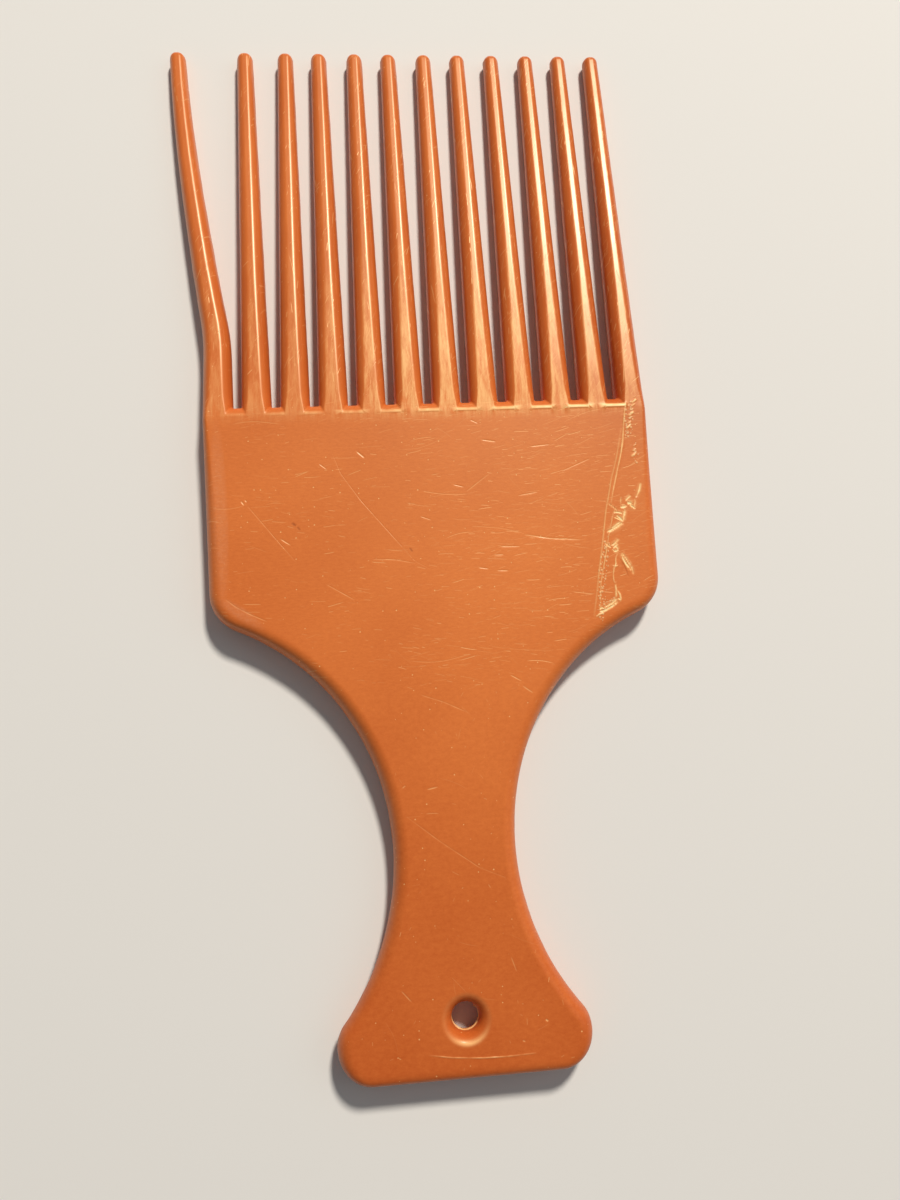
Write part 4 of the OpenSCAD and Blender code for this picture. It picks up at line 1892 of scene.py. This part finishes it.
BLADE_MARKS = (
    Mark(((-15.8, -8.3), (-14.5, -12.1), (-11.5, -16.7), (-7.4, -21.9), (-3.6, -26.7), (-1.4, -28)),
         -0.02, 0.08, 0.24),
    Mark(((-29.4, -16.3), (-27.3, -19), (-24.7, -22.4), (-21.7, -26.2)), -0.02, 0.08, 0.28),
    Mark(((-24.1, -22.3), (-22.5, -23.4)), -0.04, 0.12, 0.6),
    Mark(((-11.9, -8.5), (-10.6, -9.7)), -0.07, 0.15, 1.0),
    Mark(((-17.8, -10.4), (-16.6, -11.4)), -0.04, 0.1),
    Mark(((-17.4, -29.7), (-13.1, -32.4)), -0.025, 0.1, 0.4),
    Mark(((-10.2, -26.1), (-6.7, -26.3), (-3.6, -27)), -0.025, 0.1, 0.4),
    Mark(((8, -7.2), (10.4, -7.6)), -0.05, 0.13, 0.9),
    Mark(((6.5, -3.8), (7.7, -4.4)), -0.04, 0.11),
    Mark(((15.9, -8.6), (19.1, -8.3)), -0.04, 0.12, 0.8),
    Mark(((3, -14.5), (4.8, -15)), -0.04, 0.11, 0.6),
    Mark(((13.2, -16.7), (16.5, -16.2)), -0.03, 0.1, 0.6),
    Mark(((13.7, -23.1), (17.8, -23.9), (22.7, -24.3)), -0.035, 0.14, 0.8),
    Mark(((9.8, -24.9), (13, -25)), -0.04, 0.11),
    Mark(((8.7, -26.2), (10.3, -26.2)), -0.04, 0.11),
    Mark(((6.1, -28.1), (7.8, -28.4)), -0.04, 0.11),
    Mark(((8.9, -28.7), (10.9, -28.8)), -0.04, 0.11),
    Mark(((-2.5, -19.5), (-0.7, -20.2)), -0.035, 0.11, 0.6),
    Mark(((20.6, -12.9), (25.4, -10.9)), -0.03, 0.11, 0.6),
    Mark(((5, -15.8), (8.9, -12.9)), -0.025, 0.11, 0.5),
    Mark(((31.1, -5.7), (30.6, -7.9), (29.9, -10.5), (29.2, -12.7), (28.5, -14.7), (27.9, -17.1),
          (27.2, -19.6), (26.6, -22.6), (25.9, -26.1), (25.1, -29.7), (24.5, -32.8), (23.9, -35.7),
          (23.6, -36.9)), 0.075, 0.2, 0.8, 0.3),
    Mark(((32.6, -0.4), (32.2, -1.6), (31.9, -3), (31.5, -5.4), (31.1, -8), (30.5, -10.5),
          (29.7, -13), (29.2, -14.7), (28.6, -16.7), (28.1, -18.8)), 0.1, 0.2, 1.25, 0.4),
    Mark(((28.6, -19.4), (27.4, -23.2), (26.4, -27.1), (25.2, -31.6), (24.8, -35.2)), 0.08, 0.15, 1.0, 0.5),
    Mark(((26.9, -23.2), (27.9, -22.9), (28.9, -22.3), (29.8, -21.7)), -0.13, 0.3, 2.6, 0.3, 0.5),
    Mark(((27.7, -22.7), (28.6, -22.1), (29.5, -21.5)), -0.09, 0.16, 2.5, 0.3, 0.5),
    Mark(((29.8, -21.7), (29.4, -21), (28.8, -20.5)), -0.1, 0.24, 2.6, 0.3, 0.5),
    Mark(((29.8, -21.7), (30.1, -20.5), (30.3, -19.4), (30.4, -18.9)), -0.09, 0.2, 2.2, 0.4, 0.5),
    Mark(((28.3, -20), (29.1, -20), (29.9, -20.3)), -0.09, 0.19, 2.3, 0.3, 0.5),
    Mark(((29.5, -19.2), (30.4, -19.2), (30.6, -18.9)), -0.09, 0.23, 2.5, 0.4, 0.5),
    Mark(((27.6, -18.5), (28.3, -19), (28.7, -19.3), (29.1, -19.9)), -0.06, 0.13, 1.5, 0.4, 0.5),
    Mark(((28.4, -20.8), (29, -21.1), (29.5, -21.4)), -0.08, 0.15, 2.1, 0.5, 0.5),
    Mark(((30.5, -18.2), (30.9, -17.8), (31.5, -17.3)), -0.08, 0.18, 2.3, 0.3, 0.5),
    Mark(((30.7, -18.6), (31.2, -18.5), (31.5, -18.9)), -0.12, 0.3, 2.6, 0.5, 0.6),
    Mark(((31.1, -18.8), (31.7, -19.3), (32.1, -19.6)), -0.1, 0.22, 2.5, 0.3, 0.5),
    Mark(((31.8, -19.3), (32.1, -18.5), (32.1, -17.8)), -0.07, 0.15, 2.0, 0.5, 0.5),
    Mark(((32.1, -17.8), (32.7, -17.1), (33.1, -16.2), (33.3, -15.2)), -0.09, 0.2, 2.2, 0.5, 0.5),
    Mark(((29.6, -18.7), (29.8, -18), (29.9, -17.4)), -0.04, 0.13, 0.9, 0.8, 0.4),
    Mark(((26.5, -24.9), (27, -25.5), (27.5, -25.8)), -0.08, 0.19, 2.2, 0.4, 0.5),
    Mark(((27.4, -25.5), (28, -25.2), (28.5, -24.8), (28.8, -24.3)), -0.09, 0.2, 2.3, 0.5, 0.6),
    Mark(((27.7, -25.9), (28.2, -25.6), (28.6, -25.1)), -0.09, 0.18, 2.5, 0.5, 0.6),
    Mark(((28.6, -26.2), (28.4, -25.7), (27.9, -25.4)), -0.08, 0.17, 2.2, 0.5, 0.6),
    Mark(((27.7, -26.4), (28.2, -26.4), (28.6, -26.1)), -0.08, 0.18, 2.5, 0.5, 0.6),
    Mark(((27.6, -26), (27.9, -26.3)), -0.07, 0.15, 2.0, 0.5, 0.6),
    Mark(((29, -26.6), (29.5, -27.3), (29.9, -28), (30.3, -28.8), (30.6, -29.6),
          (30.6, -30.4)), -0.09, 0.16, 2.2, 0.3, 0.5),
    Mark(((28.9, -26.7), (29.2, -27.6), (29.6, -28.6), (30, -29.1), (30.5, -29.7)),
         -0.1, 0.2, 2.6, 0.3, 0.5),
    # The darkening of this groove is a painted shadow in it
    Mark(((28.6, -27.4), (29.1, -28.5), (29.5, -29.5), (29.7, -30.7)), -0.06, 0.2, -0.35, 0.3, 0.3),
    Mark(((28.5, -26.7), (27.9, -27.6), (28, -28.5), (27.5, -29.3), (27.3, -30.6), (27.4, -31.7),
          (28, -31.1)), 0.07, 0.14, 1.5, 0.8),
    Mark(((27.3, -28.7), (27.8, -28.9), (28.3, -28.7)), 0.07, 0.15, 1.5, 0.6),
    Mark(((27.5, -31.6), (27.6, -32.5), (27.5, -33.4), (27.4, -34)), 0.09, 0.19, 2.1, 0.5),
    Mark(((25.4, -35.3), (26.2, -35), (27, -34.5), (27.8, -33.9)), -0.09, 0.2, 2.5, 0.4, 0.5),
    Mark(((24.5, -35.9), (25.3, -35.9), (26.1, -35.5), (27, -35), (27.8, -34.3)), -0.1, 0.25, 2.6, 0.4, 0.5),
    Mark(((27.7, -32.7), (28.1, -33.2), (28.2, -34), (28, -34.6)), 0.09, 0.2, 2.2, 0.4),
    Mark(((27.8, -33.9), (28.1, -34.2)), -0.08, 0.2, 2.3, 0.4, 0.5),
    Mark(((24.7, -35.6), (25, -35.3), (25.3, -35.4)), -0.08, 0.18, 2.2, 0.6, 0.5),
    Mark(((23.9, -36.8), (24.4, -36.4), (25, -36.2), (25.4, -36.3)), 0.06, 0.15, 1.4, 0.7),
    Mark(((25, -35.5), (25.3, -35.5)), 0.08, 0.17, 2.0, 0.6),
    *rungs((32.3, -5.7), (33.9, -0.5), 8),
    *rungs((32.7, -10.5), (33, -8.9), 3),
    Mark(((9.8, -45.0), (11.6, -46.1)), -0.025, 0.1, 0.6, 0.5),
    Mark(((-29.9, -16.1), (-29.4, -16.8)), -0.07, 0.14, 1.0),
    Mark(((-29.3, -15.9), (-29.0, -16.3)), -0.07, 0.13, 1.0),
    Mark(((-32.6, -31.3), (-30.9, -32.7), (-28.8, -33.9), (-26.3, -35.1)), -0.03, 0.12, 0.4, 0.5),
    Mark(((-22.3, -19.8), (-21.6, -20.4)), -0.02, 0.3, -0.9),
    Mark(((-21.5, -20.5), (-21.0, -21.1)), -0.02, 0.26, -0.8),
    Mark(((-4.4, -24.5), (-3.9, -25.2)), -0.01, 0.24, -0.7),
)
HANDLE_MARKS = (
    Mark(((-7.9, -64.2), (-2.3, -68.8), (3.3, -72.9), (7.8, -74.9)), -0.022, 0.1, 0.25, 0.5),
    Mark(((-5.7, -97.5), (-2.4, -98.1), (1.8, -98.5), (5.2, -98.6), (9.6, -98.5)), 0.06, 0.13, 0.6, 0.6),
    Mark(((7.7, -96.7), (8.1, -96.9)), -0.05, 0.12, 0.9),
    Mark(((11.6, -46.8), (13.2, -48)), -0.03, 0.12, 0.9),
    Mark(((-4, -47.3), (-0.5, -48.6), (2.9, -50.3)), -0.02, 0.1, 0.35, 0.5),
    Mark(((-3.8, -61.3), (-2.1, -61)), -0.03, 0.12, 0.7),
    Mark(((-7.4, -60.9), (-6.9, -60.5)), -0.03, 0.12, 0.7),
    Mark(((6.9, -85.4), (7.6, -87.6)), -0.03, 0.11, 0.5),
    Mark(((-9, -88.8), (-7.6, -90.4)), -0.03, 0.11, 0.5),
    Mark(((11.2, -94.2), (11.6, -94.5)), -0.06, 0.16, 1.0),
)


@dataclass(frozen=True)
class Studio:
    """The pale floor, the soft lamps and the camera.

    Attributes:
        camera_place: Where the camera stands, in millimetres.
        camera_turn: Its turn about X, Y and Z, in degrees.
        camera_focus: Focal length on a 36 mm frame.
        key_way: Direction of the main lamp, seen from the pick.
        key_away: Its distance, in metres.
        key_size: Its width, in metres.
        key_power: Its power, in watts.
        key_colour: Its colour, linear.
        fill_way: Direction of the second lamp.
        fill_away: Its distance, in metres.
        fill_size: Its width, in metres.
        fill_power: Its power, in watts.
        sky: Colour of the even light of the room, linear.
        sky_strength: Its strength.
        floor_half: Half the width of the floor, in metres.
        floor_drop: How far the floor lies under the pick, in millimetres.
    """

    camera_place: tuple[float, float, float] = (-11.66, -42.02, 140.84)
    camera_turn: tuple[float, float, float] = (11.219, -4.811, -3.590)
    camera_focus: float = 27.03
    key_way: tuple[float, float, float] = (0.36, 0.85, 1.0)
    key_away: float = 1.8
    key_size: float = 0.26
    key_power: float = 33.6
    key_colour: tuple[float, float, float] = (1.0, 0.92, 0.81)
    fill_way: tuple[float, float, float] = (1.0, 0.1, 0.8)
    fill_away: float = 1.2
    fill_size: float = 0.8
    fill_power: float = 0.9
    sky: Colour = (0.97, 0.99, 1.0, 1.0)
    sky_strength: float = 0.165
    floor_half: float = 3.0
    floor_drop: float = 0.02

    def floor(self, material: bpy.types.Material) -> bpy.types.Object:
        """Lay the floor just under the pick.

        Args:
            material: Its finish.

        Returns:
            The floor.
        """
        h, z = self.floor_half, -self.floor_drop * MM
        mesh = bpy.data.meshes.new("floor")
        mesh.from_pydata([(-h, -h, z), (h, -h, z), (h, h, z), (-h, h, z)], [], [(0, 1, 2, 3)])
        mesh.materials.append(material)
        floor = bpy.data.objects.new("floor", mesh)
        bpy.context.scene.collection.objects.link(floor)
        return floor

    def lamp(
        self, name: str, way: Sequence[float], away: float, size: float, power: float
    ) -> bpy.types.Object:
        """Hang a round soft lamp that faces the pick.

        Args:
            name: Its name.
            way: Direction from the pick.
            away: Distance in metres.
            size: Width in metres.
            power: Power in watts.

        Returns:
            The lamp.
        """
        light = bpy.data.lights.new(name, "AREA")
        light.shape, light.size, light.energy = "DISK", size, power
        lamp = bpy.data.objects.new(name, light)
        direction = Vector(way).normalized()
        lamp.location = direction * away
        lamp.rotation_euler = direction.to_track_quat("Z", "Y").to_euler()
        bpy.context.scene.collection.objects.link(lamp)
        return lamp

    def world(self) -> None:
        """Light the room evenly, and show it white behind the floor."""
        world = bpy.data.worlds.new("studio")
        world.use_nodes = True
        bpy.context.scene.world = world
        w = Wiring(world.node_tree)
        back = world.node_tree.nodes["Background"]
        back.inputs["Color"].default_value = self.sky
        back.inputs["Strength"].default_value = self.sky_strength
        seen = w.node("Background", {"Color": (1.0, 1.0, 1.0, 1.0), "Strength": 1.0})
        direct = w.node("LightPath").outputs["Is Camera Ray"]
        mixed = w.node("MixShader", {0: direct, 1: back.outputs[0], 2: seen.outputs[0]})
        w.feed(world.node_tree.nodes["World Output"].inputs["Surface"], mixed.outputs[0])

    def camera(self) -> bpy.types.Object:
        """Set up the camera at the photograph's viewing angle.

        Returns:
            The camera.
        """
        frame_w, nearest = 36.0, 0.005
        lens = bpy.data.cameras.new("camera")
        lens.lens, lens.sensor_width, lens.clip_start = self.camera_focus, frame_w, nearest
        camera = bpy.data.objects.new("camera", lens)
        camera.location = Vector(self.camera_place) * MM
        camera.rotation_euler = Euler([math.radians(a) for a in self.camera_turn])
        bpy.context.scene.collection.objects.link(camera)
        bpy.context.scene.camera = camera
        return camera

    def build(self) -> None:
        """Set up the whole studio."""
        self.floor(PaperFinish().build())
        key = self.lamp("key_lamp", self.key_way, self.key_away, self.key_size, self.key_power)
        key.data.color = self.key_colour
        self.lamp("fill_lamp", self.fill_way, self.fill_away, self.fill_size, self.fill_power)
        self.world()
        self.camera()
        bpy.context.scene.view_settings.view_transform = "Standard"


def main() -> None:
    """Build the pick and its studio."""
    logging.basicConfig(level=logging.INFO, format="%(name)s: %(message)s")
    sizes = PickSizes()
    outline = Outline(sizes)
    effects = Effects()
    blade_finish = PlasticFinish(
        "blade_plastic", sizes, scratches=BLADE_SCRATCHES, stipples=PANEL_STIPPLES, scuffs=BLADE_SCUFFS,
        hazes=BLADE_HAZES, pit_share=0.5, stretch=2.6, brushed=1.0, sweep=0.35,
    )
    handle_finish = PlasticFinish(
        "handle_plastic", sizes, scratches=HANDLE_SCRATCHES, pit_share=0.45, stretch=1.4
    )
    tooth_finish = PlasticFinish(
        "tooth_plastic", sizes, scratches=TOOTH_SCRATCHES, pit_share=0.2, stretch=0.14, rough=0.36,
        coat=0.24, brushed=1.0,
    )
    levels = edge_levels(sizes.flat_inset)
    teeth = [Tooth(sizes, number, levels) for number in range(1, TOOTH_COUNT + 1)]
    Blade(sizes, outline, teeth, BLADE_MARKS).build(blade_finish.build(effects))
    Handle(sizes, outline, HANDLE_MARKS).build(handle_finish.build(effects))
    tooth_plastic = tooth_finish.build(effects)
    for tooth in teeth:
        tooth.build(tooth_plastic)
    Studio().build()


if __name__ == "__main__":
    main()
